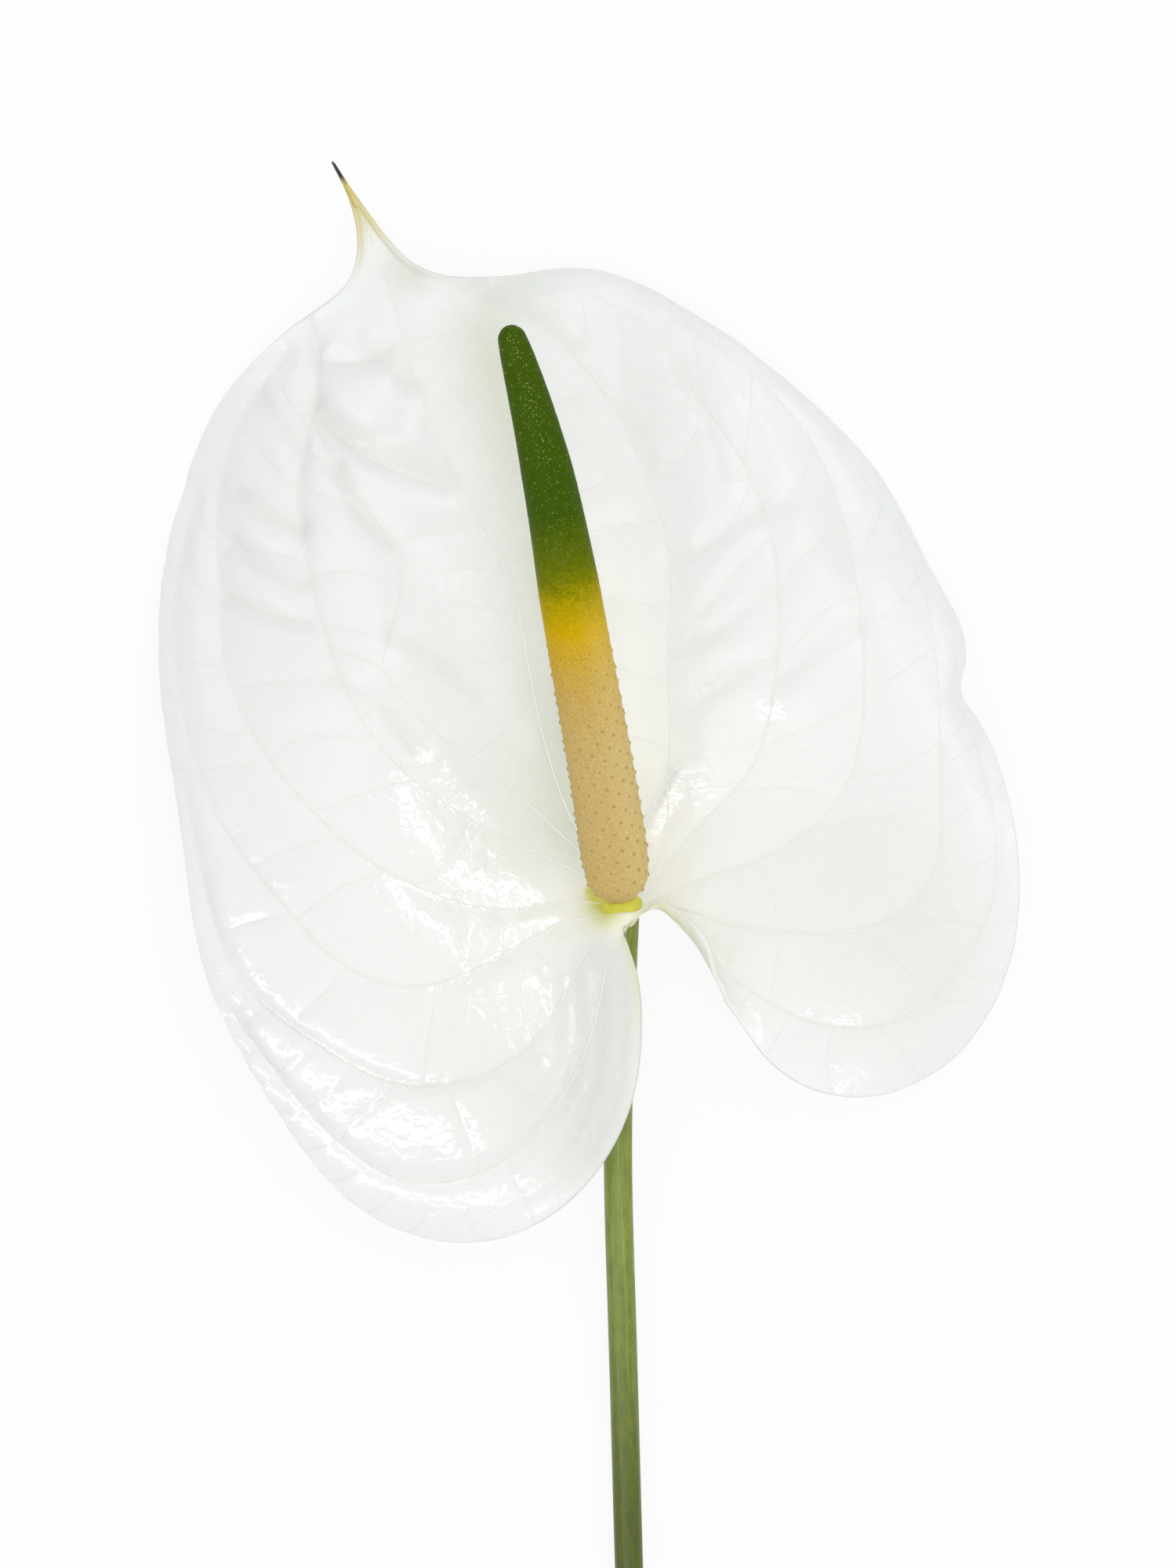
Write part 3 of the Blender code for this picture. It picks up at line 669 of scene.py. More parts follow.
def spathe_material(settings):
    """Waxy white spathe tissue: a soft, slightly translucent leaf under a glossy cuticle."""
    material, tree = start_material("waxy_white_spathe_tissue")
    plan = add_node(tree, "ShaderNodeAttribute", output="Vector", attribute_name="plan")
    colour = layered(tree, settings.skin, settings.edge, "margin_tint")
    # Cream round the node, and painted light that makes the blade paler up the right side of the
    # spadix.
    colour = layered(tree, colour, settings.cream, "cream_tint")
    # Painted shade along the spadix's left side and past its end.
    colour = layered(tree, colour, settings.gutter, "gutter_tint")
    # Painted shade beside the notch, over parts of the lobes and in the folds.
    colour = layered(tree, colour, settings.fold, "fold_tint")
    # The tissue is a little uneven, in clouds about 12 mm wide.
    clouds = add_node(tree, "ShaderNodeTexNoise", {"Vector": plan, "Scale": 0.08, "Detail": 3.0})
    colour = layered(tree, colour, hex_colour("#E4E7E3"), clouds, 0.35, 0.75, most=0.22)
    # Tertiary veins enclose cells of about 4 mm; they are drawn a little paler.
    waver = add_node(tree, "ShaderNodeTexNoise", {"Vector": plan, "Scale": 0.22, "Detail": 1.0},
                     output="Color")
    waver = add_node(tree, "ShaderNodeVectorMath", {0: waver, "Scale": 4.5}, operation="SCALE")
    bent = add_node(tree, "ShaderNodeVectorMath", [plan, waver], operation="ADD")
    cells = add_node(tree, "ShaderNodeTexVoronoi", {"Vector": bent, "Scale": 0.26},
                     feature="DISTANCE_TO_EDGE")
    net = add_node(tree, "ShaderNodeMapRange", [cells, 0.0, 0.045, 1.0, 0.0])
    colour = layered(tree, colour, settings.vein, net, most=0.15)
    # A few brown flecks 0.3 to 0.6 mm wide, about one in 25 mm.
    fleck = add_node(tree, "ShaderNodeTexVoronoi", {"Vector": plan, "Scale": 0.055})
    chance = add_node(tree, "ShaderNodeSeparateColor", [fleck.node.outputs["Color"]])
    chosen = add_node(tree, "ShaderNodeMath", [chance, 0.72], operation="GREATER_THAN")
    spot = add_node(tree, "ShaderNodeMapRange", [fleck, 0.008, 0.02, 0.6, 0.0])
    spot = add_node(tree, "ShaderNodeMath", [spot, chosen], operation="MULTIPLY")
    colour = layered(tree, colour, hex_colour("#B59A62"), spot)
    colour = layered(tree, colour, settings.node, "node_tint")
    colour = layered(tree, colour, settings.tip, "tip_tint")
    colour = layered(tree, colour, settings.withered, "withered")
    # The cuticle is finely crinkled, about 2.4 and 0.9 mm apart, which breaks up its gleams.
    crinkle = add_node(tree, "ShaderNodeTexNoise", {"Vector": plan, "Scale": 0.42, "Detail": 1.0})
    fine = add_node(tree, "ShaderNodeTexNoise", {"Vector": plan, "Scale": 1.1, "Detail": 1.0})
    height = add_node(tree, "ShaderNodeMath", [fine, 0.22, crinkle], operation="MULTIPLY_ADD")
    height = add_node(tree, "ShaderNodeMath", [net, 0.10, height], operation="MULTIPLY_ADD")
    bump = add_node(tree, "ShaderNodeBump",
                    {"Strength": 1.0, "Distance": 0.00016, "Height": height})
    # Handling leaves it satin in patches about 3 mm wide, and the wax is thinner in places.
    worn = add_node(tree, "ShaderNodeTexNoise", {"Vector": plan, "Scale": 0.35, "Detail": 3.0})
    roughness = add_node(tree, "ShaderNodeMapRange", [worn, 0.3, 0.7, 0.30, 0.38])
    gloss = add_node(tree, "ShaderNodeAttribute", output="Fac", attribute_name="gloss")
    thin = add_node(tree, "ShaderNodeMapRange", [clouds, 0.3, 0.6, 0.75, 1.0])
    wax = add_node(tree, "ShaderNodeMath", [gloss, thin], operation="MULTIPLY")
    finish_material(tree, {
        "Base Color": colour, "Roughness": roughness, "Normal": bump, "IOR": 1.46,
        "Coat Weight": wax, "Coat Roughness": 0.045, "Coat IOR": 1.55, "Coat Normal": bump,
        "Subsurface Weight": 0.18, "Subsurface Radius": (1.0, 0.95, 0.85),
        "Subsurface Scale": 0.0012})
    return material


def vein_material(settings):
    """Vein tissue: firmer and less glossy than the blade, almost white."""
    material, tree = start_material("pale_vein_tissue")
    place = add_node(tree, "ShaderNodeTexCoord", output="Object")
    # It is a little greyer in patches about 10 mm long.
    patches = add_node(tree, "ShaderNodeTexNoise", {"Vector": place, "Scale": 90.0})
    colour = layered(tree, settings.vein, settings.skin, patches, 0.35, 0.65, most=0.5)
    finish_material(tree, {"Base Color": colour, "Roughness": 0.34, "IOR": 1.45})
    return material


# ---------------------------------------------------------------- the spathe

class Blade:
    """The spathe's upper face: a point for each place between midrib, margin, base and tip."""

    def __init__(self):
        self.midrib, _ = spline(MIDRIB)
        self.height = height_field(HEIGHTS)
        self.margins = {}
        for side, margin in ((-1, LEFT_MARGIN), (1, RIGHT_MARGIN)):
            table = np.array(margin, float)
            curve, knots = spline(table[:, :2])
            self.margins[side] = (curve, knots, table[:, 2:])

    def rib(self, side, along, across):
        """Points on one rib, across being 0 on the midrib and 1 on the margin, and the
        same points in plan with the rolled edge laid flat."""
        curve, knots, table = self.margins[side]
        foot, heading, roll = (np.interp(along, knots, table[:, i]) for i in range(3))
        edge, start = curve(along)[0], self.midrib(foot)[0]
        ahead = self.midrib(foot + MIDRIB_STEP)[0] - self.midrib(foot - MIDRIB_STEP)[0]
        leave = side * np.array((ahead[1], -ahead[0])) / np.linalg.norm(ahead)
        arrive = np.array((math.cos(math.radians(heading)), math.sin(math.radians(heading))))
        reach = np.linalg.norm(edge - start)
        first = ARM_SHARES[0] * reach + NODE_ARM * math.exp(-foot / NODE_ARM_FADES[0])
        last = ARM_SHARES[1] * reach + NODE_ARM * math.exp(-along / NODE_ARM_FADES[1])
        corners = np.array((start, start + first * leave, edge + last * arrive, edge))

        u = np.linspace(0.0, 1.0, RIB_SAMPLES)[:, None]
        weights = np.hstack(((1 - u)**3, 3 * u * (1 - u)**2, 3 * u**2 * (1 - u), u**3))
        path = weights @ corners
        reached = lengths_along(path)

        angle = math.radians(abs(roll)) + FLATTEST_ROLL
        strip = min(ROLLED_STRIP, ROLLED_SHARE * reached[-1])
        radius = strip / angle
        flat = reached[-1] - radius * math.sin(min(angle, math.pi / 2))
        travel = across * (flat + strip)
        turned = np.maximum(travel - flat, 0.0) / radius
        run = np.minimum(travel, flat) + radius * np.sin(turned)
        plan = np.column_stack([np.interp(run, reached, path[:, i]) for i in range(2)])
        lift = radius * (1.0 - np.cos(turned)) * math.copysign(1.0, roll)
        past = np.maximum(travel - reached[-1], 0.0)[:, None] * -arrive
        laid = np.column_stack([np.interp(travel, reached, path[:, i]) for i in range(2)]) + past
        return np.column_stack((plan, self.height(plan) + lift)), laid

    def matched_rows(self, rows):
        """Places along both margins whose ribs leave the midrib at the same point."""
        feet = np.linspace(0.0, 1.0, MIDRIB_SAMPLES)
        sides = [np.interp(feet, self.margins[side][2][:, 0], self.margins[side][1])
                 for side in (-1, 1)]
        foot = np.interp(np.linspace(0.0, 1.0, rows), (sides[0] + sides[1]) / 2.0, feet)
        return [np.interp(foot, feet, side) for side in sides]


def crowd_to_edge(value):
    """Spread 0..1 so that cells are narrower at the rolled margin."""
    return 1.0 - (1.0 - value) ** EDGE_CROWDING


def neighbours(grid):
    """The grid shifted one step each way.  Its first row is the closed seam at the notch,
    so what lies beyond that row is the second row seen from the other side."""
    below = np.concatenate((grid[1:2, ::-1], grid[:-1]))
    above = np.concatenate((grid[1:], grid[-1:]))
    left = np.concatenate((grid[:, :1], grid[:, :-1]), axis=1)
    right = np.concatenate((grid[:, 1:], grid[:, -1:]), axis=1)
    return below, above, left, right


def relaxed(grid, weight, rounds):
    """The grid with each point drawn towards the middle of its neighbours."""
    for _ in range(rounds):
        middle = sum(neighbours(grid)) / 4.0
        grid = grid + weight * (middle - grid)
    return grid


def blade_grid(blade, rows, columns):
    """Points of the upper face, and their flat plan, in rows from the notch to the tip."""
    across = crowd_to_edge(np.linspace(0.0, 1.0, columns + 1))
    points = np.zeros((rows + 1, 2 * columns + 1, 3))
    plan = np.zeros((rows + 1, 2 * columns + 1, 2))
    for row, (left, right) in enumerate(zip(*blade.matched_rows(rows + 1))):
        points[row, columns:], plan[row, columns:] = blade.rib(1, right, across)
        points[row, columns::-1], plan[row, columns::-1] = blade.rib(-1, left, across)
    for grid in (points, plan):
        grid[0] = (grid[0] + grid[0, ::-1]) / 2.0
    # Ribs pinch together at the node and the tip: ease them apart there, but keep the
    # margins in place.
    from_node = np.linalg.norm(points[..., :2] - RIBS_MEET, axis=2)
    from_tip = np.linalg.norm(points[..., :2] - TIP, axis=2)
    loose = np.maximum(smooth_step(8.0, 4.0, from_node), 0.6 * smooth_step(5.0, 2.0, from_tip))
    from_midrib = np.abs(np.arange(2 * columns + 1) / columns - 1.0)
    loose = 0.8 * (loose * smooth_step(0.95, 0.45, from_midrib))[..., None]
    loose[-1] = 0.0
    points, plan = (relaxed(grid, loose, EASING_ROUNDS) for grid in (points, plan))
    # The very tip dries out and draws together.
    beyond = from_tip[:, columns, None, None]
    slim = 0.55 * smooth_step(15.0, 3.0, beyond) + 0.4 * smooth_step(4.0, 0.0, beyond)
    for grid in (points, plan):
        grid -= slim * (grid - grid[:, columns:columns + 1])
    # The cushion slopes off more steeply under the spadix than towards the notch.
    forward = points[..., 1] - CUSHION_PLACE[1]
    steepness = np.where(forward > 0.0, CUSHION_STEEPNESS, 1.0)
    away = np.hypot(points[..., 0] - CUSHION_PLACE[0], steepness * forward)
    cushion = np.exp(-(away / CUSHION_REACH) ** 3)
    points[..., 2] += cushion * np.maximum(CUSHION_HEIGHT - points[..., 2], 0.0)
    soften = 0.5 * smooth_step(8.0, 4.0, away)[..., None] * (loose > 0.0)
    points = relaxed(points, soften, CUSHION_ROUNDS)
    return points, plan


def grid_normals(points):
    below, above, left, right = neighbours(points)
    normals = unit(np.cross(right - left, above - below))
    return unit(relaxed(normals, 0.7, NORMAL_ROUNDS))


def near_lines(lines, plan):
    """The distance in plan from each point to the nearest of some lines, and which it is."""
    tree = KDTree(sum(len(line) for line in lines))
    owner = []
    for number, line in enumerate(lines):
        for x, y in line:
            tree.insert((x, y, 0.0), len(owner))
            owner.append(number)
    tree.balance()
    found = [tree.find((x, y, 0.0)) for x, y in plan]
    return np.array([f[2] for f in found]), np.array([owner[f[1]] for f in found])


def main_vein_lines():
    """Each main line of the blade, the midrib and both margins with them."""
    lines = {name: trace(points) for name, points in MAIN_VEINS.items()}
    lines["midrib"] = trace(MIDRIB)
    lines["left_margin"] = trace([row[:2] for row in LEFT_MARGIN])
    lines["right_margin"] = trace([row[:2] for row in RIGHT_MARGIN])
    return lines


def cross_vein_lines(lines):
    """Fine veins between neighbouring main lines, with a fixed unevenness."""
    uneven = np.random.default_rng(CROSS_SEED)
    crosses = []
    for inner, outer, first, last, spacing, lean in CROSS_VEINS:
        line, target = lines[inner], lines[outer]
        reached = lengths_along(line)
        ahead = unit(np.gradient(line, axis=0))
        places = np.arange(first, min(last, reached[-1] - 2.0), spacing)
        for place in places + uneven.uniform(-0.18, 0.18, len(places)) * spacing:
            i = int(np.argmin(abs(reached - place)))
            aim = line[i] + ahead[i] * lean * uneven.uniform(0.8, 1.2)
            end = target[np.argmin(np.linalg.norm(target - aim, axis=1))]
            run = end - line[i]
            width = np.linalg.norm(run)
            if not CROSS_WIDTHS[0] < width < CROSS_WIDTHS[1]:
                continue
            # It bows to one side, with a slighter second bend.
            sideways = np.array((-run[1], run[0]))
            bow = sideways * uneven.uniform(-0.10, 0.10)
            second = sideways * uneven.uniform(-0.05, 0.05)
            shape = [line[i], line[i] + run * 0.35 + bow, line[i] + run * 0.7 + bow + second, end]
            crosses.append(trace(shape, CROSS_STEP))
    return crosses


def uneven_field(plan, period, seed):
    """Smooth unevenness of about -1 to 1 over the plan, with a given period."""
    return np.array([noise.noise((x / period, y / period, seed)) for x, y in plan])


def away_from(place, plan):
    """The distance in plan from a place to each point."""
    return np.hypot(plan[:, 0] - place[0], plan[:, 1] - place[1])


def soft_spot(plan, x, y, across, along):
    """One at a place, and fading away from it: its reach across and along."""
    return np.exp(-(((plan[:, 0] - x) / across) ** 2) - ((plan[:, 1] - y) / along) ** 2)


def folded(plan, value):
    """The deepest fold at each point: its depth if value is 2, its painted shade if value is 3."""
    deepest = np.zeros(len(plan))
    for fold in FOLDS:
        to_fold, _ = near_lines([trace(fold[0])], plan)
        deepest = np.maximum(deepest, fold[value] * np.exp(-(to_fold / fold[1]) ** 2))
    return deepest


def swollen(plan, to_main, to_cross):
    """How far the blade swells between its veins."""
    swell, width = np.full(len(plan), SWELL), np.full(len(plan), SWELL_WIDTH)
    for x, y, reach, more, narrow in SWELLS:
        near = soft_spot(plan, x, y, reach, reach)
        swell += more * near
        width += (narrow - SWELL_WIDTH) * np.minimum(near, 1.0)
    width = np.maximum(width, NARROWEST_SWELL)
    beside = 1.0 - np.exp(-(to_main / width) ** 1.4)
    between_crosses = 1.0 - np.exp(-((to_cross + 0.15) / (0.8 * width)) ** 1.4)
    # It sinks by 0.6 of the swell at a vein and rises by 0.4 between veins, so that the
    # blade keeps about its mean height.
    return swell * (0.45 * beside + 0.55 * beside * between_crosses - 0.6)


def pleated(plan, to_notch):
    """Soft pleats that fan out beside the notch, on the left lobe."""
    x, y = plan[:, 0], plan[:, 1]
    fan = smooth_step(-58.0, -30.0, y) * smooth_step(-4.0, -12.0, y)
    fan *= smooth_step(20.0, 8.0, to_notch) * smooth_step(-26.0, -14.0, x)
    return PLEAT_HEIGHT * fan * np.sin(2.0 * math.pi * to_notch / PLEAT_SPACING)


def blade_relief(plan, lines, crosses, strength):
    """How far each point stands proud of the smooth blade."""
    veins = [line for name, line in lines.items() if not name.endswith("margin")]
    to_main, _ = near_lines(veins, plan)
    to_cross, _ = near_lines(crosses, plan)
    to_notch, _ = near_lines([lines["left_margin"]], plan)
    relief = swollen(plan, to_main, to_cross)
    for period, seed, height in UNEVENNESS:
        relief += height * uneven_field(plan, period, seed)
    relief += CRUMPLE_HEIGHT * soft_spot(plan, *CRUMPLED) * uneven_field(plan, *CRUMPLES)
    relief += WAVE_HEIGHT * uneven_field(plan, *WAVES) * smooth_step(15.0, 45.0, plan[:, 1])
    relief -= VEIN_GROOVE * np.exp(-(to_main / VEIN_GROOVE_WIDTH) ** 2)
    relief += pleated(plan, to_notch) - folded(plan, 2)
    # Nothing stands proud where the ribs come together.
    relief *= smooth_step(2.0, 11.0, away_from(NODE, plan))
    relief *= smooth_step(3.0, 18.0, away_from(TIP, plan))
    to_crease, _ = near_lines([trace(CREASE)], plan)
    relief += CREASE_HEIGHT * np.exp(-(to_crease / CREASE_WIDTH) ** 2)
    return relief * strength


def green_share(plan, node, rim):
    """Where the blade turns chartreuse: along the collar, beside it, and on the rim near it."""
    crescent, _ = near_lines([trace(COLLAR_CRESCENT)], plan)
    beside = away_from(COLLAR_SIDE, plan)
    green = np.maximum(np.exp(-(crescent / 1.5) ** 3), 0.8 * np.exp(-(beside / 3.4) ** 2))
    return np.maximum(green, 0.35 * rim * smooth_step(24.0, 4.0, node))


def blade_tints(plan, points, lines):
    """Shares of each tint at each point of the blade."""
    x, y = plan[:, 0], plan[:, 1]
    axis = trace(SPADIX_AXIS)
    to_spadix, _ = near_lines([axis], plan)
    to_margin, _ = near_lines([lines["left_margin"], lines["right_margin"]], points[:, :2])
    node, tip = away_from(TINTED_NODE, plan), away_from(TIP, plan)
    soft = uneven_field(plan, *TINT_WAVES)
    rim = np.exp(-(to_margin / 0.9) ** 2)
    # Cream spreads from the node. Up the right side of the spadix the blade is painted lighter, as
    # painted light, and painted shade greys the gutter along its left side and past its end.
    left_of = smooth_step(6.0, -6.0, x - np.interp(y, axis[:, 1], axis[:, 0]))
    painted_light_right = np.exp(-((to_spadix - 5.0) / 9.0) ** 2) * (1.0 - left_of)
    cream = np.maximum(np.exp(-node / 16.0), painted_light_right * smooth_step(95.0, 20.0, y))
    gutter_width = 9.0 + 4.0 * smooth_step(45.0, 22.0, y) * left_of
    gutter = np.exp(-(to_spadix / gutter_width) ** 2) * smooth_step(2.0, 14.0, y)
    gutter *= 0.1 + 1.3 * left_of
    for *spot, share in GUTTER_SHADE_SPOTS:
        gutter = np.maximum(gutter, share * soft_spot(plan, *spot))
    # Painted shade lies beside the notch, over some parts of the lobes, and in the folds.
    notch = np.exp(-((x + 2.0 - 0.08 * y) / 8.0) ** 2)
    notch *= smooth_step(-1.5, -7.0, y) * smooth_step(-52.0, -36.0, y)
    lobes = sum(share * soft_spot(plan, *spot) for *spot, share in PAINTED_SHADE_SPOTS)
    creased = folded(plan, 3) * (1.0 + 0.5 * soft)
    # The tip yellows, first along its rims.
    yellow = np.maximum(0.8 * rim * smooth_step(20.0, 7.0, tip),
                        0.9 * smooth_step(15.0, 5.0, tip + 1.5 * soft))
    gloss = np.zeros(len(plan))
    for *place, reach in GLOSSY:
        gloss = np.maximum(gloss, np.exp(-(away_from(place, plan) / reach) ** 3))
    return {
        "gloss": gloss,
        "cream_tint": np.clip(0.9 * cream, 0.0, 1.0),
        "gutter_tint": np.clip(0.7 * gutter, 0.0, 1.0),
        "fold_tint": np.maximum(0.85 * np.maximum(notch, lobes), creased),
        "node_tint": np.clip(green_share(plan, node, rim) * (1.0 + 0.4 * soft), 0.0, 0.95),
        "margin_tint": smooth_step(16.0, 0.0, to_margin),
        "tip_tint": np.clip(yellow * (1.0 + 0.3 * soft), 0.0, 1.0),
        "withered": smooth_step(3.0, 1.2, tip + 0.5 * soft),
    }


def shell_faces(index, inside_out=False):
    """Quads between the points of an index grid whose faces look up."""
    faces = []
    for i in range(index.shape[0] - 1):
        for j in range(index.shape[1] - 1):
            face = (index[i, j], index[i, j + 1], index[i + 1, j + 1], index[i + 1, j])
            faces.append(face[::-1] if inside_out else face)
    return [tuple(int(v) for v in face) for face in faces]


def seamed_indices(rows, columns, first):
    """Indices for a grid whose first row is a closed seam: its two halves share points."""
    index = np.zeros((rows, columns), int)
    middle = columns // 2
    index[0, :middle + 1] = first + np.arange(middle + 1)
    index[0, middle:] = index[0, middle::-1]
    count = first + middle + 1
    for row in range(1, rows):
        index[row] = count + np.arange(columns)
        count += columns
    return index, count


def seamed_points(grid):
    """The points of a grid in the order that seamed_indices counts them."""
    middle = grid.shape[1] // 2
    return np.concatenate((grid[0, :middle + 1], grid[1:].reshape(-1, grid.shape[2])))


def spathe_shell(upper, lower, edge):
    """Points and faces of the closed blade; the lower face has every other row and column."""
    rows, columns = upper.shape[:2]
    top, count = seamed_indices(rows, columns, 0)
    sparse = lower[::2, ::2]
    bottom, count = seamed_indices(sparse.shape[0], sparse.shape[1], count)
    points = np.concatenate((seamed_points(upper), seamed_points(sparse)))
    faces = shell_faces(top) + shell_faces(bottom, inside_out=True)
    loop = [(i, 0) for i in range(rows)]
    loop += [(rows - 1, j) for j in range(1, columns)]
    loop += [(i, columns - 1) for i in range(rows - 2, 0, -1)]
    rim = [count + k for k in range(len(loop))]
    points = np.concatenate((points, [edge[i, j] for i, j in loop]))
    size = len(loop)
    for k in range(size):
        here, there = loop[k], loop[(k + 1) % size]
        faces.append((int(top[here]), rim[k], rim[(k + 1) % size], int(top[there]))[::-1])
    for k in range(0, size, 2):
        a, b, c = k, k + 1, (k + 2) % size
        low = [int(bottom[loop[n][0] // 2, loop[n][1] // 2]) for n in (a, c)]
        faces += [(rim[a], low[0], rim[b])[::-1], (rim[b], low[0], low[1], rim[c])[::-1]]
    return points, faces


def draped(lines, plan, points, normals, faces, lift):
    """Lines drawn in plan, laid on the blade.  Each is a list of points on its surface."""
    flat = [(x, y, 0.0) for x, y in plan]
    triangles = [t for a, b, c, d in faces for t in ((a, b, c), (a, c, d))]
    tree = BVHTree.FromPolygons(flat, triangles)
    laid = []
    for line in lines:
        run = []
        clear = (away_from(NODE, line) >= NODE_CLEAR) & (away_from(TIP, line) >= TIP_CLEAR)
        # The plan lies flat at height zero: a ray straight down finds the triangle.
        for x, y in line[clear]:
            place, _, number, _ = tree.ray_cast(Vector((x, y, 5.0)), Vector((0.0, 0.0, -1.0)))
            if place is None:
                continue
            corner = triangles[number]
            place = barycentric_transform(place, *(Vector(flat[i]) for i in corner),
                                          *(Vector(points[i]) for i in corner))
            up = Vector(sum(normals[i] for i in corner)).normalized()
            run.append(place + up * lift)
        if len(run) > 2:
            laid.append(run)
    return laid


def vein_curves(name, runs, radii):
    """Poly curves in the frame with a radius at each point."""
    curve = bpy.data.curves.new(name, "CURVE")
    curve.dimensions = "3D"
    offset = Vector(working_offset())
    for run, (start, end) in zip(runs, radii):
        line = curve.splines.new("POLY")
        line.points.add(len(run) - 1)
        for i, (vertex, place) in enumerate(zip(line.points, run)):
            # It thins outwards, and comes out of the flesh over its first few points.
            share = i / (len(run) - 1)
            vertex.co = (*((place + offset) * MM), 1.0)
            vertex.radius = (start + (end - start) * share**0.8) * min(1.0, 0.25 + i / 8.0)
    holder = bpy.data.objects.new(name, curve)
    bpy.context.scene.collection.objects.link(holder)
    return holder


def start_tree(name, source, **numbers):
    """A geometry node group, what it is given, and the identifiers of its number inputs."""
    tree = bpy.data.node_groups.new(name, "GeometryNodeTree")
    tree.interface.new_socket(name=source, in_out="INPUT", socket_type="NodeSocketGeometry")
    identifiers = {}
    for label, kind in numbers.items():
        socket = tree.interface.new_socket(name=label, in_out="INPUT",
                                           socket_type="NodeSocket" + kind)
        identifiers[label] = socket.identifier
    tree.interface.new_socket(name="Mesh", in_out="OUTPUT", socket_type="NodeSocketGeometry")
    return tree, add_node(tree, "NodeGroupInput").node.outputs, identifiers


def finish_tree(tree, geometry, material):
    """Make a group's result real and give it its material."""
    real = add_node(tree, "GeometryNodeRealizeInstances", [geometry])
    dressed = add_node(tree, "GeometryNodeSetMaterial", {"Geometry": real, "Material": material})
    add_node(tree, "NodeGroupOutput", {"Mesh": dressed})


def vein_tree(material):
    """Geometry nodes that give each vein curve a round section."""
    tree, given, identifiers = start_tree("Vein sections", "Curves", Sides="Int", Size="Float")
    section = add_node(tree, "GeometryNodeCurvePrimitiveCircle",
                       {"Resolution": given["Sides"], "Radius": given["Size"]})
    radius = add_node(tree, "GeometryNodeInputRadius")
    swept = add_node(tree, "GeometryNodeCurveToMesh",
                     {"Curve": given["Curves"], "Profile Curve": section,
                      "Scale": radius, "Fill Caps": True})
    smooth = add_node(tree, "GeometryNodeSetShadeSmooth", {"Geometry": swept})
    finish_tree(tree, smooth, material)
    return tree, identifiers


def realised(holder, tree, values):
    """The plain mesh that a geometry node tree makes from an object, which is then removed."""
    modifier = holder.modifiers.new("Nodes", "NODES")
    modifier.node_group = tree
    for identifier, value in values.items():
        modifier[identifier] = value
    bpy.context.view_layer.update()
    depsgraph = bpy.context.evaluated_depsgraph_get()
    mesh = bpy.data.meshes.new_from_object(holder.evaluated_get(depsgraph), depsgraph=depsgraph)
    bpy.data.objects.remove(holder, do_unlink=True)
    return mesh


def joined(name, meshes):
    """One mesh from several, each keeping its own materials."""
    parts = [bpy.data.objects.new(name, mesh) for mesh in meshes]
    for part in parts:
        bpy.context.scene.collection.objects.link(part)
    with bpy.context.temp_override(active_object=parts[0], selected_objects=parts,
                                   selected_editable_objects=parts):
        bpy.ops.object.join()
    mesh = parts[0].data
    bpy.data.objects.remove(parts[0])
    mesh.name = name
    return mesh


def blade_layers(points, normals, relief):
    """The upper face, the lower face and the rounded edge of the blade, clear of the table."""
    upper = points + normals * relief[..., None]
    floor = TABLE_GAP - working_offset()[2]
    upper[..., 2] = np.maximum(upper[..., 2], floor + PRESSED_SHARE * SPATHE_THICKNESS)
    to_tip = np.linalg.norm(points[..., :2] - MIDRIB[-1], axis=2)[..., None]
    to_notch = np.linalg.norm(points[..., :2] - LEFT_MARGIN[0][:2], axis=2)[..., None]
    full = np.minimum(smooth_step(0.0, 12.0, to_tip), smooth_step(4.0, 14.0, to_notch))
    thickness = SPATHE_THICKNESS * (THINNEST_SHARE + (1.0 - THINNEST_SHARE) * full)
    lower = upper - normals * thickness
    lower[..., 2] = np.maximum(lower[..., 2], floor)
    outward = points - sum(neighbours(points)) / 4.0
    outward[:, 0], outward[:, -1] = points[:, 0] - points[:, 2], points[:, -1] - points[:, -3]
    outward[-1, 1:-1] = (points[-1] - points[-3])[1:-1]
    edge = (upper + lower) / 2.0 + unit(outward) * EDGE_SHARE * thickness
    edge[..., 2] = np.maximum(edge[..., 2], floor)
    return upper, lower, edge


def over_shell(grid):
    """Values of the upper grid at each of the shell's points, in spathe_shell's order."""
    border = np.concatenate((grid[:, 0], grid[-1, 1:], grid[-2:0:-1, -1]))
    return np.concatenate((seamed_points(grid), seamed_points(grid[::2, ::2]), border))


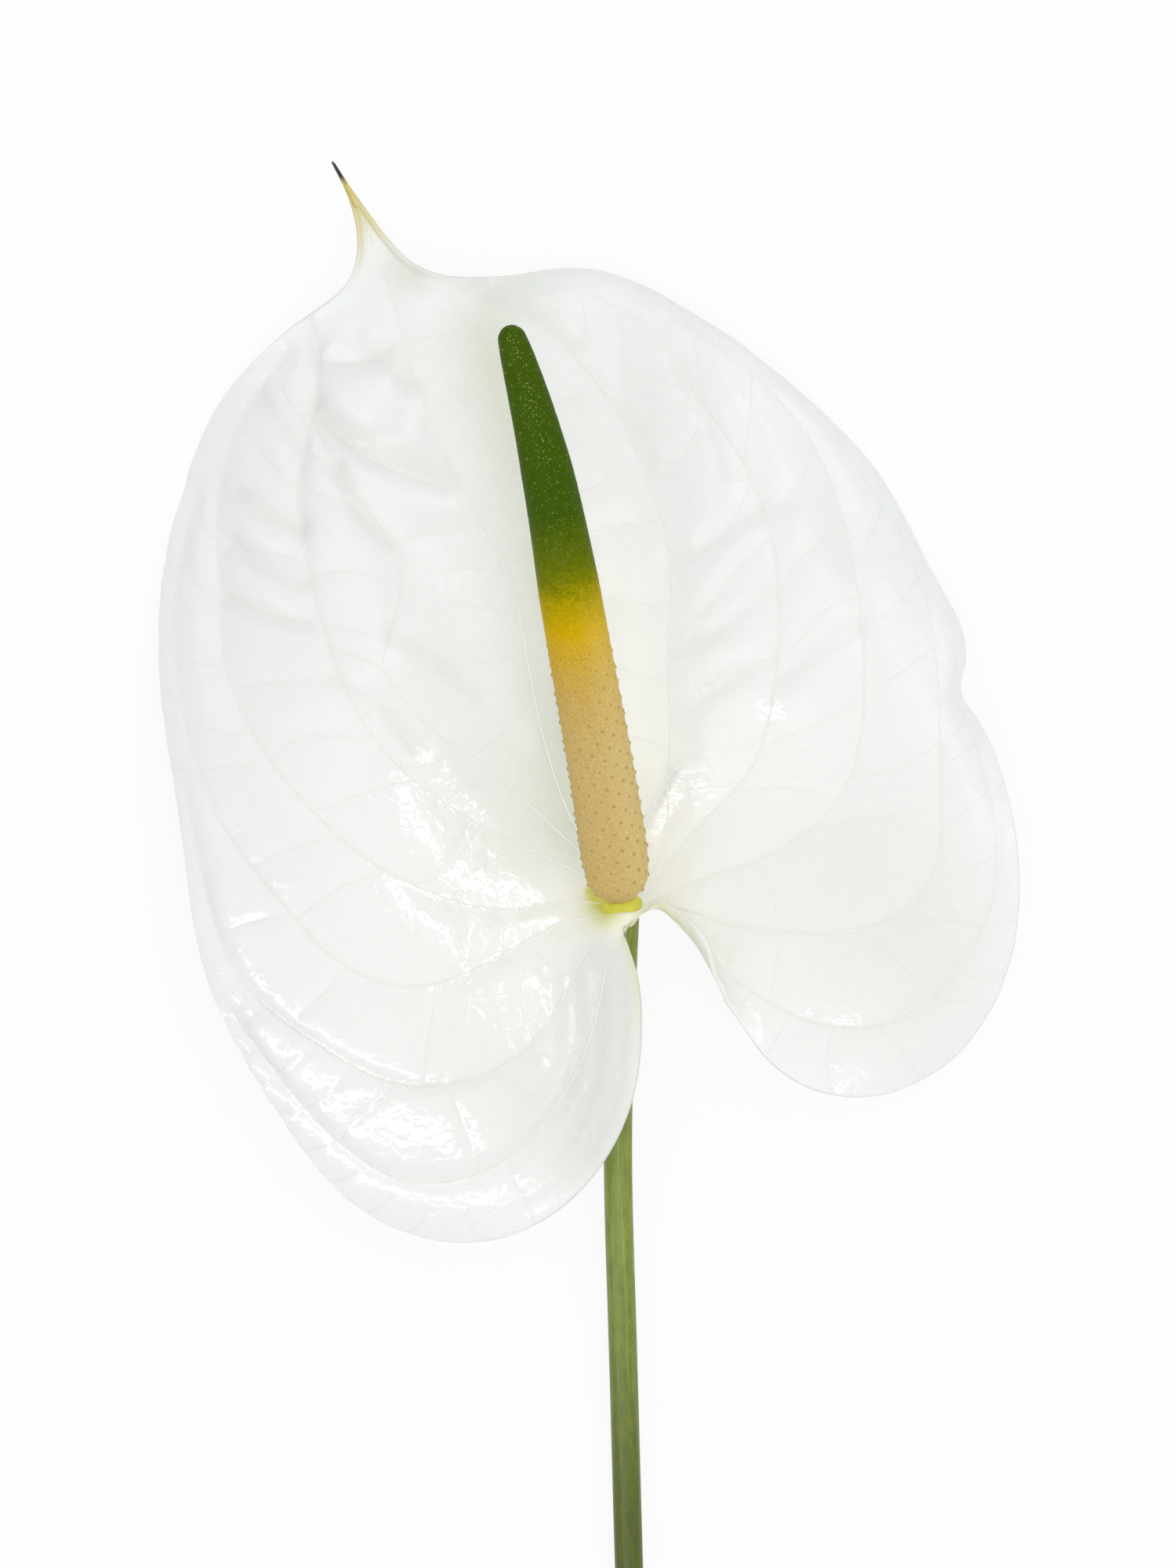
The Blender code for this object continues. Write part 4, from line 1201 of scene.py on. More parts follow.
class ANTHURIUM_OT_spathe(bpy.types.Operator):
    """Lay the white spathe with its veins, swellings and yellow tip"""
    bl_idname = "anthurium.spathe"
    bl_label = "Spathe"

    def execute(self, context):
        settings = context.scene.anthurium_spathe
        points, plan = blade_grid(Blade(), settings.rows, settings.columns)
        normals = grid_normals(points)
        shape = points.shape[:2]
        lines = main_vein_lines()
        crosses = cross_vein_lines(lines)
        flat_points, flat_plan = points.reshape(-1, 3), plan.reshape(-1, 2)
        relief = blade_relief(flat_plan, lines, crosses, settings.relief).reshape(shape)
        # The two halves of the first row are one seam.
        relief[0] = (relief[0] + relief[0, ::-1]) / 2.0
        upper, lower, edge = blade_layers(points, normals, relief)
        mesh = make_mesh("spathe", *spathe_shell(upper, lower, edge))
        set_attribute(mesh, "plan", over_shell(np.dstack((plan, np.zeros(shape)))))
        for name, share in blade_tints(flat_plan, flat_points, lines).items():
            set_attribute(mesh, name, over_shell(share.reshape(*shape, 1))[:, 0])
        mesh.materials.append(spathe_material(settings))

        upper_faces = shell_faces(np.arange(len(flat_plan)).reshape(shape))
        cover = (flat_plan, upper.reshape(-1, 3), normals.reshape(-1, 3), upper_faces)
        main = [line for name, line in lines.items() if not name.endswith("margin")]
        main_runs = draped([line[::2] for line in main], *cover, MAIN_VEIN_LIFT)
        cross_runs = draped(crosses, *cover, 0.0)
        thick, thin = settings.main_vein, settings.cross_vein
        radii = [(thick, 0.5 * thick)] * len(main_runs) + [(thin, 0.8 * thin)] * len(cross_runs)
        holder = vein_curves("veins", main_runs + cross_runs, radii)
        tree, inputs = vein_tree(vein_material(settings))
        veins = realised(holder, tree, {inputs["Sides"]: VEIN_SIDES, inputs["Size"]: 1.0})
        show(joined("spathe", [mesh, veins]), "spathe_blade", "spathe")
        return {"FINISHED"}


# ---------------------------------------------------------------- the spadix

def spadix_material(settings):
    """Packed florets: matt waxy tissue, tan through gold to leaf green, finely wrinkled."""
    material, tree = start_material("packed_floret_tissue")
    place = add_node(tree, "ShaderNodeTexCoord", output="Object")
    rise, tone, young, crest = (
        add_node(tree, "ShaderNodeAttribute", output="Fac", attribute_name=name)
        for name in ("rise", "floret_tone", "young", "crest"))
    # The bands of colour meet raggedly, floret by floret.
    frayed = add_node(tree, "ShaderNodeTexNoise",
                      {"Vector": place, "Scale": 1100.0, "Detail": 4.0, "Roughness": 0.8})
    ragged = add_node(tree, "ShaderNodeMath", [frayed, 0.10, rise], operation="MULTIPLY_ADD")
    ragged = add_node(tree, "ShaderNodeMath", [tone, 0.004, ragged], operation="MULTIPLY_ADD")
    ragged = add_node(tree, "ShaderNodeMath", [ragged, 0.05], operation="SUBTRACT")
    colour = add_node(tree, "ShaderNodeValToRGB", [ragged], stops=[
        (0.0, settings.tan), (0.27, settings.tan), (0.38, hex_colour("#D6B462")),
        (0.44, hex_colour("#D8B33E")), (0.49, settings.gold), (0.54, hex_colour("#B6A202")),
        (0.575, hex_colour("#7F8402")), (0.61, hex_colour("#647402")), (0.69, settings.green),
        (1.0, hex_colour("#445E04"))])
    # Grain 0.25 mm wide and the grooves between florets are darker, and the tan part has
    # pale crumbs.
    specks = add_node(tree, "ShaderNodeTexNoise",
                      {"Vector": place, "Scale": 4200.0, "Roughness": 0.6})
    darker = add_node(tree, "ShaderNodeMix", {0: 1.0, 6: colour, 7: hex_colour("#C9C2AE")}, 2,
                      data_type="RGBA", blend_type="MULTIPLY")
    colour = layered(tree, colour, darker, specks, 0.35, 0.65, most=0.6)
    crumbs = add_node(tree, "ShaderNodeTexNoise",
                      {"Vector": place, "Scale": 3400.0, "Detail": 1.0})
    crumbs = add_node(tree, "ShaderNodeMapRange", [crumbs, 0.54, 0.72, 0.0, 0.22])
    tan_part = add_node(tree, "ShaderNodeMapRange", [ragged, 0.5, 0.35])
    crumbs = add_node(tree, "ShaderNodeMath", [crumbs, tan_part], operation="MULTIPLY")
    colour = layered(tree, colour, hex_colour("#F0DDB0"), crumbs)
    colour = layered(tree, colour, darker, "groove", most=0.08)
    # Painted light: the side towards +X is a little paler, except on the green part.
    paler = add_node(tree, "ShaderNodeMix", {0: 1.0, 6: colour, 7: hex_colour("#5E583C")}, 2,
                     data_type="RGBA", blend_type="SCREEN")
    not_green = add_node(tree, "ShaderNodeMapRange", [ragged, 0.56, 0.44])
    young = add_node(tree, "ShaderNodeMath", [young, not_green], operation="MULTIPLY")
    colour = layered(tree, colour, paler, young)
    # The green part is stippled with pale crystals 0.15 mm wide; on its upward crest they are
    # denser and brighter, as painted glints.
    green_part = add_node(tree, "ShaderNodeMapRange", [ragged, 0.56, 0.63])
    crest = add_node(tree, "ShaderNodeMapRange", [crest, 0.86, 0.98])
    stipple = add_node(tree, "ShaderNodeTexVoronoi", {"Vector": place, "Scale": 2500.0})
    chance = add_node(tree, "ShaderNodeSeparateColor", [stipple.node.outputs["Color"]])
    least = add_node(tree, "ShaderNodeMath", [crest, -0.25, 0.6], operation="MULTIPLY_ADD")
    chosen = add_node(tree, "ShaderNodeMath", [chance, least], operation="GREATER_THAN")
    bright = add_node(tree, "ShaderNodeMath", [crest, 0.68, 0.3], operation="MULTIPLY_ADD")
    pale = add_node(tree, "ShaderNodeMapRange", [stipple, 0.16, 0.32, 0.8, 0.0])
    for share in (chosen, bright, green_part):
        pale = add_node(tree, "ShaderNodeMath", [pale, share], operation="MULTIPLY")
    colour = layered(tree, colour, hex_colour("#BCD08A"), pale)
    # Its skin is wrinkled 0.7 mm apart, with the same grain on top.
    wrinkles = add_node(tree, "ShaderNodeTexNoise", {"Vector": place, "Scale": 1500.0})
    height = add_node(tree, "ShaderNodeMath", [specks, 0.5, wrinkles], operation="MULTIPLY_ADD")
    bump = add_node(tree, "ShaderNodeBump",
                    {"Strength": 1.0, "Distance": 0.00009, "Height": height})
    roughness = add_node(tree, "ShaderNodeMapRange", [specks, 0.3, 0.7, 0.34, 0.58])
    shine = add_node(tree, "ShaderNodeMath", [green_part, 0.05], operation="MULTIPLY")
    finish_material(tree, {
        "Base Color": colour, "Roughness": roughness, "Normal": bump, "IOR": 1.45,
        "Specular IOR Level": 0.03, "Coat Weight": shine, "Coat Roughness": 0.16,
        "Coat Normal": bump, "Subsurface Weight": 0.08, "Subsurface Radius": (1.0, 0.8, 0.3),
        "Subsurface Scale": 0.0008})
    return material


def pistil_material(settings):
    """Pistil tips: small, damp and a little darker than the florets they stand in."""
    material, tree = start_material("damp_pistil_tip")
    place = add_node(tree, "ShaderNodeTexCoord", output="Object")
    rise = add_node(tree, "ShaderNodeAttribute", output="Fac", attribute_name="rise")
    colour = add_node(tree, "ShaderNodeValToRGB", [rise], stops=[
        (0.0, settings.dot), (0.33, settings.dot), (0.42, hex_colour("#C6A044")),
        (0.5, hex_colour("#C09A10")), (0.56, hex_colour("#8C8C14")), (0.63, hex_colour("#5A7A1C")),
        (1.0, hex_colour("#6E8E3A"))])
    # They brown in spots 0.3 mm wide.
    spots = add_node(tree, "ShaderNodeTexNoise", {"Vector": place, "Scale": 3000.0})
    colour = layered(tree, colour, hex_colour("#8A6A35"), spots, 0.3, 0.7, most=0.12)
    finish_material(tree, {"Base Color": colour, "Roughness": 0.45, "IOR": 1.4,
                           "Specular IOR Level": 0.2})
    return material


class SpadixShape:
    """The axis and girth of the spadix, by distance along it."""

    def __init__(self):
        plan = spline(SPADIX_AXIS)[0](np.linspace(0.0, 1.0, AXIS_SAMPLES))
        travelled = plan[:, 1] - plan[0, 1]
        base = COLLAR_END[2] + SPADIX_ABOVE_COLLAR
        height = base + travelled * math.tan(math.radians(SPADIX_CLIMB_DEGREES))
        points = np.column_stack((plan, height))
        foot = points[0] - SPADIX_FOOT * unit(points[1] - points[0])
        self.points = np.vstack((foot, points))
        self.reached = lengths_along(self.points)
        self.length = self.reached[-1]
        self.frames = frames_along(self.points)

    def radius(self, distance):
        stations, sizes = zip(*SPADIX_DIAMETERS)
        spread = np.linspace(-GIRTH_SOFTNESS, GIRTH_SOFTNESS, 9)[:, None]
        share = np.clip((distance + spread) / self.length, 0.0, 1.0)
        radius = np.interp(share, stations, sizes).mean(axis=0) / 2.0
        for end, dome in zip((distance, self.length - distance), SPADIX_ENDS):
            inside = np.clip(end / dome, 0.0, 1.0)
            radius = radius * np.sqrt(np.clip(1.0 - (1.0 - inside) ** 2, 0.0, 1.0))
        return radius

    def at(self, distance, angle):
        """The point at a distance along the spadix and an angle round it, and outwards."""
        middle, sideways, up = (
            np.column_stack([np.interp(distance, self.reached, table[:, i]) for i in range(3)])
            for table in (self.points, self.frames[1], self.frames[2]))
        out = np.cos(angle)[:, None] * sideways + np.sin(angle)[:, None] * up
        return middle + self.radius(distance)[:, None] * out, out


def floret_sites(shape, area):
    """Distances and angles of the florets: each turns by the golden angle from the last."""
    distance = np.linspace(0.0, shape.length, SKIN_SAMPLES)
    covered = np.concatenate(([0.0], np.cumsum(
        2.0 * math.pi * shape.radius(distance)[1:] * np.diff(distance))))
    count = int(covered[-1] / area)
    number = np.arange(count)
    return np.interp((number + 0.5) * area, covered, distance), number * GOLDEN_ANGLE


def pistil_mesh():
    """A small rounded knob with a dimple, standing along +Z, one unit in radius."""
    turns = math.tau * np.arange(PISTIL_SIDES) / PISTIL_SIDES
    rings = [[(r * math.cos(a), r * math.sin(a), z) for a in turns] for r, z in PISTIL_PROFILE]
    points, faces = tube_mesh(rings)
    points[-1] = (0.0, 0.0, PISTIL_DIMPLE)
    mesh = bpy.data.meshes.new("pistil")
    mesh.from_pydata(points, [], faces)
    mesh.shade_smooth()
    return mesh


def pistil_tree(knob, material):
    """Geometry nodes that stand a pistil in each floret, of slightly uneven size."""
    tree, given, identifiers = start_tree("Pistils", "Florets", Radius="Float",
                                          Unevenness="Float", Seed="Int")
    pistil = add_node(tree, "GeometryNodeObjectInfo", {"Object": knob}, output="Geometry")
    outward = add_node(tree, "GeometryNodeInputNamedAttribute", {"Name": "outward"},
                       data_type="FLOAT_VECTOR")
    size = add_node(tree, "GeometryNodeInputNamedAttribute", {"Name": "size"}, data_type="FLOAT")
    turned = add_node(tree, "FunctionNodeAlignRotationToVector", {"Vector": outward}, axis="Z")
    least = add_node(tree, "ShaderNodeMath", [1.0, given["Unevenness"]], operation="SUBTRACT")
    most = add_node(tree, "ShaderNodeMath", [1.0, given["Unevenness"]], operation="ADD")
    sized = add_node(tree, "FunctionNodeRandomValue", {2: least, 3: most, "Seed": given["Seed"]},
                     output=1, data_type="FLOAT")
    for share in (given["Radius"], size):
        sized = add_node(tree, "ShaderNodeMath", [sized, share], operation="MULTIPLY")
    placed = add_node(tree, "GeometryNodeInstanceOnPoints",
                      {"Points": given["Florets"], "Instance": pistil, "Rotation": turned,
                       "Scale": sized})
    finish_tree(tree, placed, material)
    return tree, identifiers


def florets_near(points, sites):
    """For each point of the spadix: how deep in a groove it lies, how near the crown of its
    floret, and that floret's own tone."""
    tree = KDTree(len(sites))
    for number, site in enumerate(sites):
        tree.insert(site, number)
    tree.balance()
    tones = np.random.default_rng(TONE_SEED).uniform(-1.0, 1.0, len(sites))
    groove, crown, tone = np.zeros((3, len(points)))
    for i, point in enumerate(points):
        (_, number, first), (_, _, second) = tree.find_n(point, 2)
        groove[i] = math.exp(-(second - first) / GROOVE_WIDTH)
        crown[i] = math.exp(-(first / CROWN_WIDTH) ** 2)
        tone[i] = tones[number]
    return groove, crown, tone


class ANTHURIUM_OT_spadix(bpy.types.Operator):
    """Raise the spadix with its spiral of packed florets and their pistils"""
    bl_idname = "anthurium.spadix"
    bl_label = "Spadix"

    def execute(self, context):
        settings = context.scene.anthurium_spadix
        shape = SpadixShape()
        site_distance, site_angle = floret_sites(shape, settings.floret_area)
        sites, outward = shape.at(site_distance, site_angle)

        count, sides = settings.rings, settings.sides
        share = np.linspace(0.0, 1.0, count)
        crowded = (1.0 - np.cos(math.pi * share)) / 2.0
        distance = shape.length * (CROWDED_SHARE * crowded + (1.0 - CROWDED_SHARE) * share)
        distance[0], distance[-1] = SPADIX_PINHOLE, shape.length - SPADIX_PINHOLE
        angles = math.tau * np.arange(sides) / sides
        points, out = shape.at(np.repeat(distance, sides), np.tile(angles, count))
        groove, crown, tone = florets_near(points, sites)
        rise = np.repeat(distance, sides) / shape.length
        # Painted glints gather where the green part faces up, near the tip.
        crest = out[:, 2] * smooth_step(0.6, 0.8, rise)
        # Painted light: the spadix is paler on its side towards +X.
        young = smooth_step(0.0, 0.75, out[:, 0])
        # Florets ripen from the foot up: the tan ones are full, and the green ones closed.
        mature = smooth_step(0.50, 0.38, rise)
        depth = settings.groove / MM
        swell = 0.5 * depth - depth * groove * (0.6 + 0.4 * mature) + CROWN_HEIGHT * mature * crown
        points = points + out * swell[:, None]
        body = make_mesh("spadix", *tube_mesh(points.reshape(count, sides, 3)))
        for name, values, at_tip in (("rise", rise, 1.0), ("groove", groove, 0.0),
                                     ("crest", crest, 0.0), ("young", young, 0.0),
                                     ("floret_tone", tone, 0.0)):
            set_attribute(body, name, np.concatenate((values, (0.0, at_tip))))
        body.materials.append(spadix_material(settings))

        site_rise = site_distance / shape.length
        mature = smooth_step(0.52, 0.40, site_rise)
        proud = (PISTIL_RISE * mature - PISTIL_SUNK)[:, None]
        florets = make_mesh("florets", sites + outward * proud, [])
        set_attribute(florets, "outward", outward)
        set_attribute(florets, "size", 0.55 + 0.45 * mature)
        set_attribute(florets, "rise", site_rise)
        holder = bpy.data.objects.new("florets", florets)
        knob = bpy.data.objects.new("pistil", pistil_mesh())
        for obj in (holder, knob):
            context.scene.collection.objects.link(obj)
        tree, named = pistil_tree(knob, pistil_material(settings))
        pistils = realised(holder, tree, {named["Radius"]: settings.pistil,
                                          named["Unevenness"]: PISTIL_UNEVENNESS,
                                          named["Seed"]: PISTIL_SEED})
        bpy.data.objects.remove(knob)
        # The blade round it glows through; the spadix casts no brown light on it.
        spadix = show(joined("spadix", [body, pistils]), "spadix_florets", "spadix")
        spadix.visible_diffuse = False
        return {"FINISHED"}


# ---------------------------------------------------------------- collar and stalk

def collar_material(settings):
    """Fresh collar tissue: smooth, moist and chartreuse, a little uneven."""
    material, tree = start_material("moist_chartreuse_tissue")
    place = add_node(tree, "ShaderNodeTexCoord", output="Object")
    # Paler patches about 1.5 mm wide, and a skin that is pebbled 0.4 mm apart.
    patches = add_node(tree, "ShaderNodeTexNoise", {"Vector": place, "Scale": 700.0, "Detail": 3.0})
    colour = layered(tree, settings.chartreuse, hex_colour("#D8D062"), patches, 0.35, 0.7, most=0.5)
    colour = layered(tree, colour, settings.shade, "foot")
    pebbles = add_node(tree, "ShaderNodeTexNoise", {"Vector": place, "Scale": 2500.0})
    bump = add_node(tree, "ShaderNodeBump",
                    {"Strength": 1.0, "Distance": 0.00005, "Height": pebbles})
    finish_material(tree, {
        "Base Color": colour, "Roughness": 0.32, "Normal": bump, "IOR": 1.42,
        "Subsurface Weight": 0.2, "Subsurface Radius": (1.0, 1.0, 0.3), "Subsurface Scale": 0.001})
    return material


class ANTHURIUM_OT_stipe(bpy.types.Operator):
    """Turn the short collar between the stalk and the spadix"""
    bl_idname = "anthurium.stipe"
    bl_label = "Collar"

    def execute(self, context):
        settings = context.scene.anthurium_collar
        start, end = np.array(COLLAR_START), np.array(COLLAR_END)
        _, sideways, up = (directions[0] for directions in frames_along((start, end)))
        shares, diameters = zip(*COLLAR_PROFILE)
        levels = np.linspace(shares[0], shares[-1], settings.rings)
        spread = np.linspace(-COLLAR_SOFTNESS, COLLAR_SOFTNESS, 7)[:, None]
        radii = np.interp(levels + spread, shares, diameters).mean(axis=0) / 2.0
        rings = []
        for level, radius in zip(levels, radii):
            ring = []
            for angle in math.tau * np.arange(settings.sides) / settings.sides:
                out = math.cos(angle) * sideways + math.sin(angle) * up
                # Soft lumps, with finer ones on top.
                uneven = 0.10 * noise.noise(out * 1.6 + level) + 0.05 * noise.noise(out * 5.0)
                ring.append(start + (end - start) * level + out * (radius + uneven))
            rings.append(ring)
        mesh = make_mesh("stipe", *tube_mesh(rings))
        foot = np.repeat(smooth_step(0.86, 0.55, levels), settings.sides)
        set_attribute(mesh, "foot", np.concatenate((foot, (1.0, 0.0))))
        mesh.materials.append(collar_material(settings))
        show(mesh, "stipe_collar", "stipe")
        return {"FINISHED"}


def stalk_height(distance):
    """Height of the stalk's axis, by distance from the node."""
    climb = np.clip(1.0 - distance / (STALK_LENGTH - STALK_ON_TABLE), 0.0, 1.0)
    low = STALK_DIAMETER / 2.0
    return low + (NODE_HEIGHT - low) * climb**2


def stalk_material(settings):
    """Peduncle skin: smooth green epidermis with lengthwise fibres, and a pale pithy cut."""
    material, tree = start_material("smooth_green_stem")
    place = add_node(tree, "ShaderNodeTexCoord", output="Object")
    skin = add_node(tree, "ShaderNodeAttribute", output="Vector", attribute_name="skin")
    # Mottling about 1 mm across and 4 mm long, streaks along the fibres 0.6 mm across and
    # tens of millimetres long, and lenticels 0.4 mm across.
    mottle, streaks, lenticels = (
        add_node(tree, "ShaderNodeTexNoise", {
            "Vector": add_node(tree, "ShaderNodeMapping", {"Vector": skin, "Scale": stretch}),
            "Scale": 1.0, "Detail": detail, "Roughness": roughness})
        for stretch, detail, roughness in (
            ((0.9, 0.9, 0.22), 4.0, 0.65), ((1.6, 1.6, 0.03), 2.0, 0.5),
            ((2.6, 2.6, 0.7), 1.0, 0.5)))
    colour = layered(tree, settings.shade, settings.green, mottle, 0.36, 0.66)
    colour = layered(tree, colour, settings.streak, streaks, 0.52, 0.70, most=0.55)
    colour = layered(tree, colour, settings.streak, lenticels, 0.66, 0.74, most=0.5)
    # The skin darkens between 55 and 100 mm from the node, and stays darker beyond.
    from_node = add_node(tree, "ShaderNodeSeparateXYZ", [skin], output="Z")
    colour = layered(tree, colour, hex_colour("#A8AA84"), from_node, 55.0, 100.0, blend="MULTIPLY")
    # The cut shows a green rind, pale pith and darker bundles 0.3 mm wide.
    bundles = add_node(tree, "ShaderNodeTexVoronoi", {"Vector": place, "Scale": 1500.0})
    pith = layered(tree, settings.cut, settings.shade, bundles, 0.18, 0.32, 0.75, 0.0)
    pith = layered(tree, pith, settings.green, "rind", 0.78, 0.92)
    cut = add_node(tree, "ShaderNodeAttribute", output="Fac", attribute_name="cut")
    colour = layered(tree, colour, pith, cut)
    fine = add_node(tree, "ShaderNodeTexNoise", {"Vector": skin, "Scale": 3.0})
    height = add_node(tree, "ShaderNodeMath", [streaks, 1.5, fine], operation="MULTIPLY_ADD")
    bump = add_node(tree, "ShaderNodeBump",
                    {"Strength": 1.0, "Distance": 0.00006, "Height": height})
    roughness = add_node(tree, "ShaderNodeMapRange", [mottle, 0.3, 0.7, 0.28, 0.42])
    roughness = add_node(tree, "ShaderNodeMath", [cut, 0.35, roughness], operation="MULTIPLY_ADD")
    finish_material(tree, {"Base Color": colour, "Roughness": roughness, "Normal": bump,
                           "IOR": 1.45, "Specular IOR Level": 0.35})
    return material


class ANTHURIUM_OT_peduncle(bpy.types.Operator):
    """Lay the round green stalk with its cut end"""
    bl_idname = "anthurium.peduncle"
    bl_label = "Stalk"

    def execute(self, context):
        settings = context.scene.anthurium_stalk
        route, _ = spline(STALK_SIDEWAYS)
        sideways = route(np.linspace(0.0, 1.0, settings.rings))
        line = np.column_stack((sideways[:, 0], -sideways[:, 1], stalk_height(sideways[:, 1])))
        ahead, across, up = frames_along(line)
        reached = lengths_along(line)
        half = STALK_DIAMETER / 2.0
        rings, skin, cut, rind = [], [], [], []
        # The cut face closes the far end in rings, hollowed a little where the pith dries.
        steps = [(i, 1.0, 0.0) for i in range(settings.rings)]
        steps += [(-1, share, 1.0) for share in CUT_RINGS]
        for i, share, is_cut in steps:
            ring = []
            for angle in math.tau * np.arange(settings.sides) / settings.sides:
                out = math.cos(angle) * across[i] + math.sin(angle) * up[i]
                ridge = RIDGE_HEIGHT * math.cos(RIDGES * angle + RIDGE_TWIST * reached[i])
                radius = (half + ridge - RIDGE_HEIGHT) * share
                ring.append(line[i] + out * radius - ahead[i] * CUT_HOLLOW * (1.0 - share))
                skin.append((half * math.cos(angle), half * math.sin(angle), reached[i]))
                cut.append(is_cut)
                rind.append(share)
            rings.append(ring)
        mesh = make_mesh("peduncle", *tube_mesh(rings))
        set_attribute(mesh, "skin", np.array(skin + [(0.0, 0.0, 0.0), (0.0, 0.0, reached[-1])]))
        set_attribute(mesh, "cut", cut + [0.0, 1.0])
        set_attribute(mesh, "rind", rind + [1.0, 0.0])
        mesh.materials.append(stalk_material(settings))
        show(mesh, "peduncle_stalk", "peduncle")
        return {"FINISHED"}


# ---------------------------------------------------------------- the stage

def add_lamp(name, ends_mm, width_mm, gleams, power):
    """A lamp between two places of the frame, its face turned to the flower.  It either
    lights surfaces or gleams on them, so that each can be set by itself."""
    ends = [Vector(end) * MM for end in ends_mm]
    middle = (ends[0] + ends[1]) / 2.0
    light = bpy.data.lights.new(name, "AREA")
    light.shape = "RECTANGLE"
    light.size, light.size_y = (ends[1] - ends[0]).length, width_mm * MM
    light.energy = power
    back = (middle - Vector(LIT_PLACE) * MM).normalized()
    across = back.cross(ends[1] - ends[0]).normalized()
    lamp = bpy.data.objects.new(name, light)
    lamp.visible_diffuse = not gleams
    lamp.visible_glossy = gleams
    lamp.matrix_world = Matrix.Translation(middle) @ Matrix(
        (across.cross(back), across, back)).transposed().to_4x4()
    bpy.context.scene.collection.objects.link(lamp)


def seen_directly(tree):
    """One where the camera, a mirror or glass sees the surface, and zero for the light."""
    rays = add_node(tree, "ShaderNodeLightPath").node.outputs
    seen = rays["Is Camera Ray"]
    for other in ("Is Glossy Ray", "Is Transmission Ray"):
        seen = add_node(tree, "ShaderNodeMath", [seen, rays[other]], operation="MAXIMUM")
    return seen


def floor_material(settings):
    """Matt white paper sweep, which still takes the flower's soft shadow."""
    material, tree = start_material("matt_white_paper")
    place = add_node(tree, "ShaderNodeTexCoord", output="Object")
    # Its pulp is cloudy, about 25 mm apart.
    pulp = add_node(tree, "ShaderNodeTexNoise", {"Vector": place, "Scale": 40.0, "Detail": 3.0})
    colour = layered(tree, settings.floor, hex_colour("#F2F2F2"), pulp, 0.3, 0.7, most=0.15)
    paper = add_node(tree, "ShaderNodeBsdfDiffuse", {"Color": colour})
    white = add_node(tree, "ShaderNodeEmission", {"Color": hex_colour("#FFFFFF"), "Strength": 1.0})
    share = add_node(tree, "ShaderNodeMath", [seen_directly(tree), FLOOR_WHITE],
                     operation="MULTIPLY")
    blend = add_node(tree, "ShaderNodeMixShader", [share, paper, white])
    add_node(tree, "ShaderNodeOutputMaterial", {"Surface": blend})
    return material


def surround(settings):
    """Even white light from all round, behind a plain white background."""
    world = bpy.data.worlds.new("white_surround")
    world.use_nodes = True
    tree = world.node_tree
    tree.nodes.clear()
    light, white = (
        add_node(tree, "ShaderNodeBackground",
                 {"Color": hex_colour("#FFFFFF"), "Strength": strength})
        for strength in (settings.ambient, 1.0))
    blend = add_node(tree, "ShaderNodeMixShader", [seen_directly(tree), light, white])
    add_node(tree, "ShaderNodeOutputWorld", {"Surface": blend})
    return world


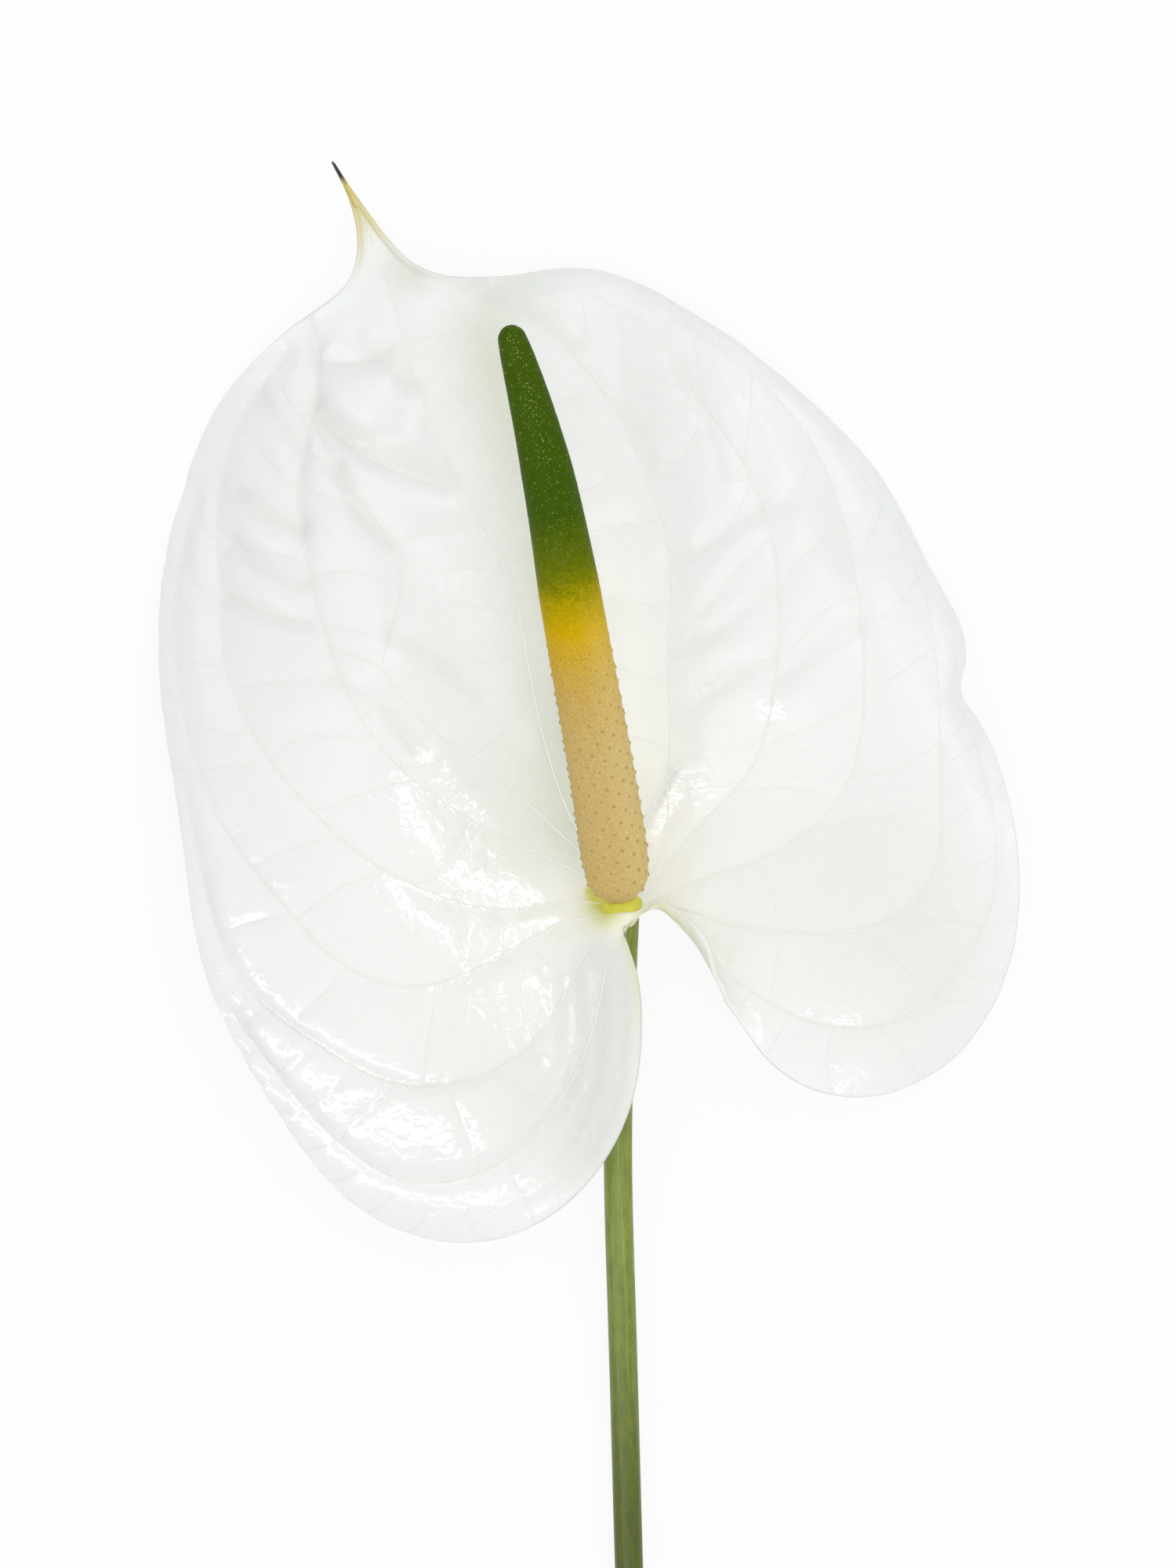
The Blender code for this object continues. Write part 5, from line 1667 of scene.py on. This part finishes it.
class ANTHURIUM_OT_stage(bpy.types.Operator):
    """Set the camera above the flower, the lamps and the white floor"""
    bl_idname = "anthurium.stage"
    bl_label = "Stage"

    def execute(self, context):
        settings = context.scene.anthurium_stage
        scene = context.scene
        scene.view_settings.view_transform = "Standard"
        scene.world = surround(settings)
        mesh = bpy.data.meshes.new("floor")
        corners = [(x * FLOOR_REACH_M, y * FLOOR_REACH_M, 0.0)
                   for x, y in ((-1, -1), (1, -1), (1, 1), (-1, 1))]
        mesh.from_pydata(corners, [], [(0, 1, 2, 3)])
        mesh.materials.append(floor_material(settings))
        floor = bpy.data.objects.new("floor", mesh)
        scene.collection.objects.link(floor)
        for name, lamp in LAMPS.items():
            add_lamp(name, *lamp, getattr(settings, name))

        camera = bpy.data.cameras.new("camera")
        camera.sensor_width = SENSOR
        level = settings.view_height / MM - FRAME_LEVEL
        camera.lens = SENSOR * level / FRAME_HEIGHT
        camera.clip_end = CLIP_END_M
        viewer = bpy.data.objects.new("camera", camera)
        viewer.location = (VIEW_CENTRE[0] * MM, VIEW_CENTRE[1] * MM, settings.view_height)
        scene.collection.objects.link(viewer)
        scene.camera = viewer
        return {"FINISHED"}


# ---------------------------------------------------------------- the add-on

GROUPS = {
    "anthurium_spathe": SpatheSettings,
    "anthurium_spadix": SpadixSettings,
    "anthurium_collar": CollarSettings,
    "anthurium_stalk": StalkSettings,
    "anthurium_stage": StageSettings,
}
OPERATORS = {
    "anthurium_spathe": ANTHURIUM_OT_spathe,
    "anthurium_spadix": ANTHURIUM_OT_spadix,
    "anthurium_collar": ANTHURIUM_OT_stipe,
    "anthurium_stalk": ANTHURIUM_OT_peduncle,
    "anthurium_stage": ANTHURIUM_OT_stage,
}


class ANTHURIUM_PT_panel(bpy.types.Panel):
    """The flower's pieces and their settings"""
    bl_label = "Anthurium"
    bl_space_type = "VIEW_3D"
    bl_region_type = "UI"
    bl_category = "Anthurium"

    def draw(self, context):
        for name, operator in OPERATORS.items():
            box = self.layout.box()
            settings = getattr(context.scene, name)
            for item in GROUPS[name].__annotations__:
                box.prop(settings, item)
            box.operator(operator.bl_idname)


def register():
    for group in GROUPS.values():
        bpy.utils.register_class(group)
    for name, group in GROUPS.items():
        setattr(bpy.types.Scene, name, PointerProperty(type=group))
    for operator in OPERATORS.values():
        bpy.utils.register_class(operator)
    bpy.utils.register_class(ANTHURIUM_PT_panel)


def unregister():
    bpy.utils.unregister_class(ANTHURIUM_PT_panel)
    for operator in reversed(list(OPERATORS.values())):
        bpy.utils.unregister_class(operator)
    for name, group in reversed(list(GROUPS.items())):
        delattr(bpy.types.Scene, name)
        bpy.utils.unregister_class(group)


def main():
    register()
    bpy.ops.anthurium.stage()
    bpy.ops.anthurium.peduncle()
    bpy.ops.anthurium.stipe()
    bpy.ops.anthurium.spadix()
    bpy.ops.anthurium.spathe()
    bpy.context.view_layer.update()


if __name__ == "__main__":
    main()
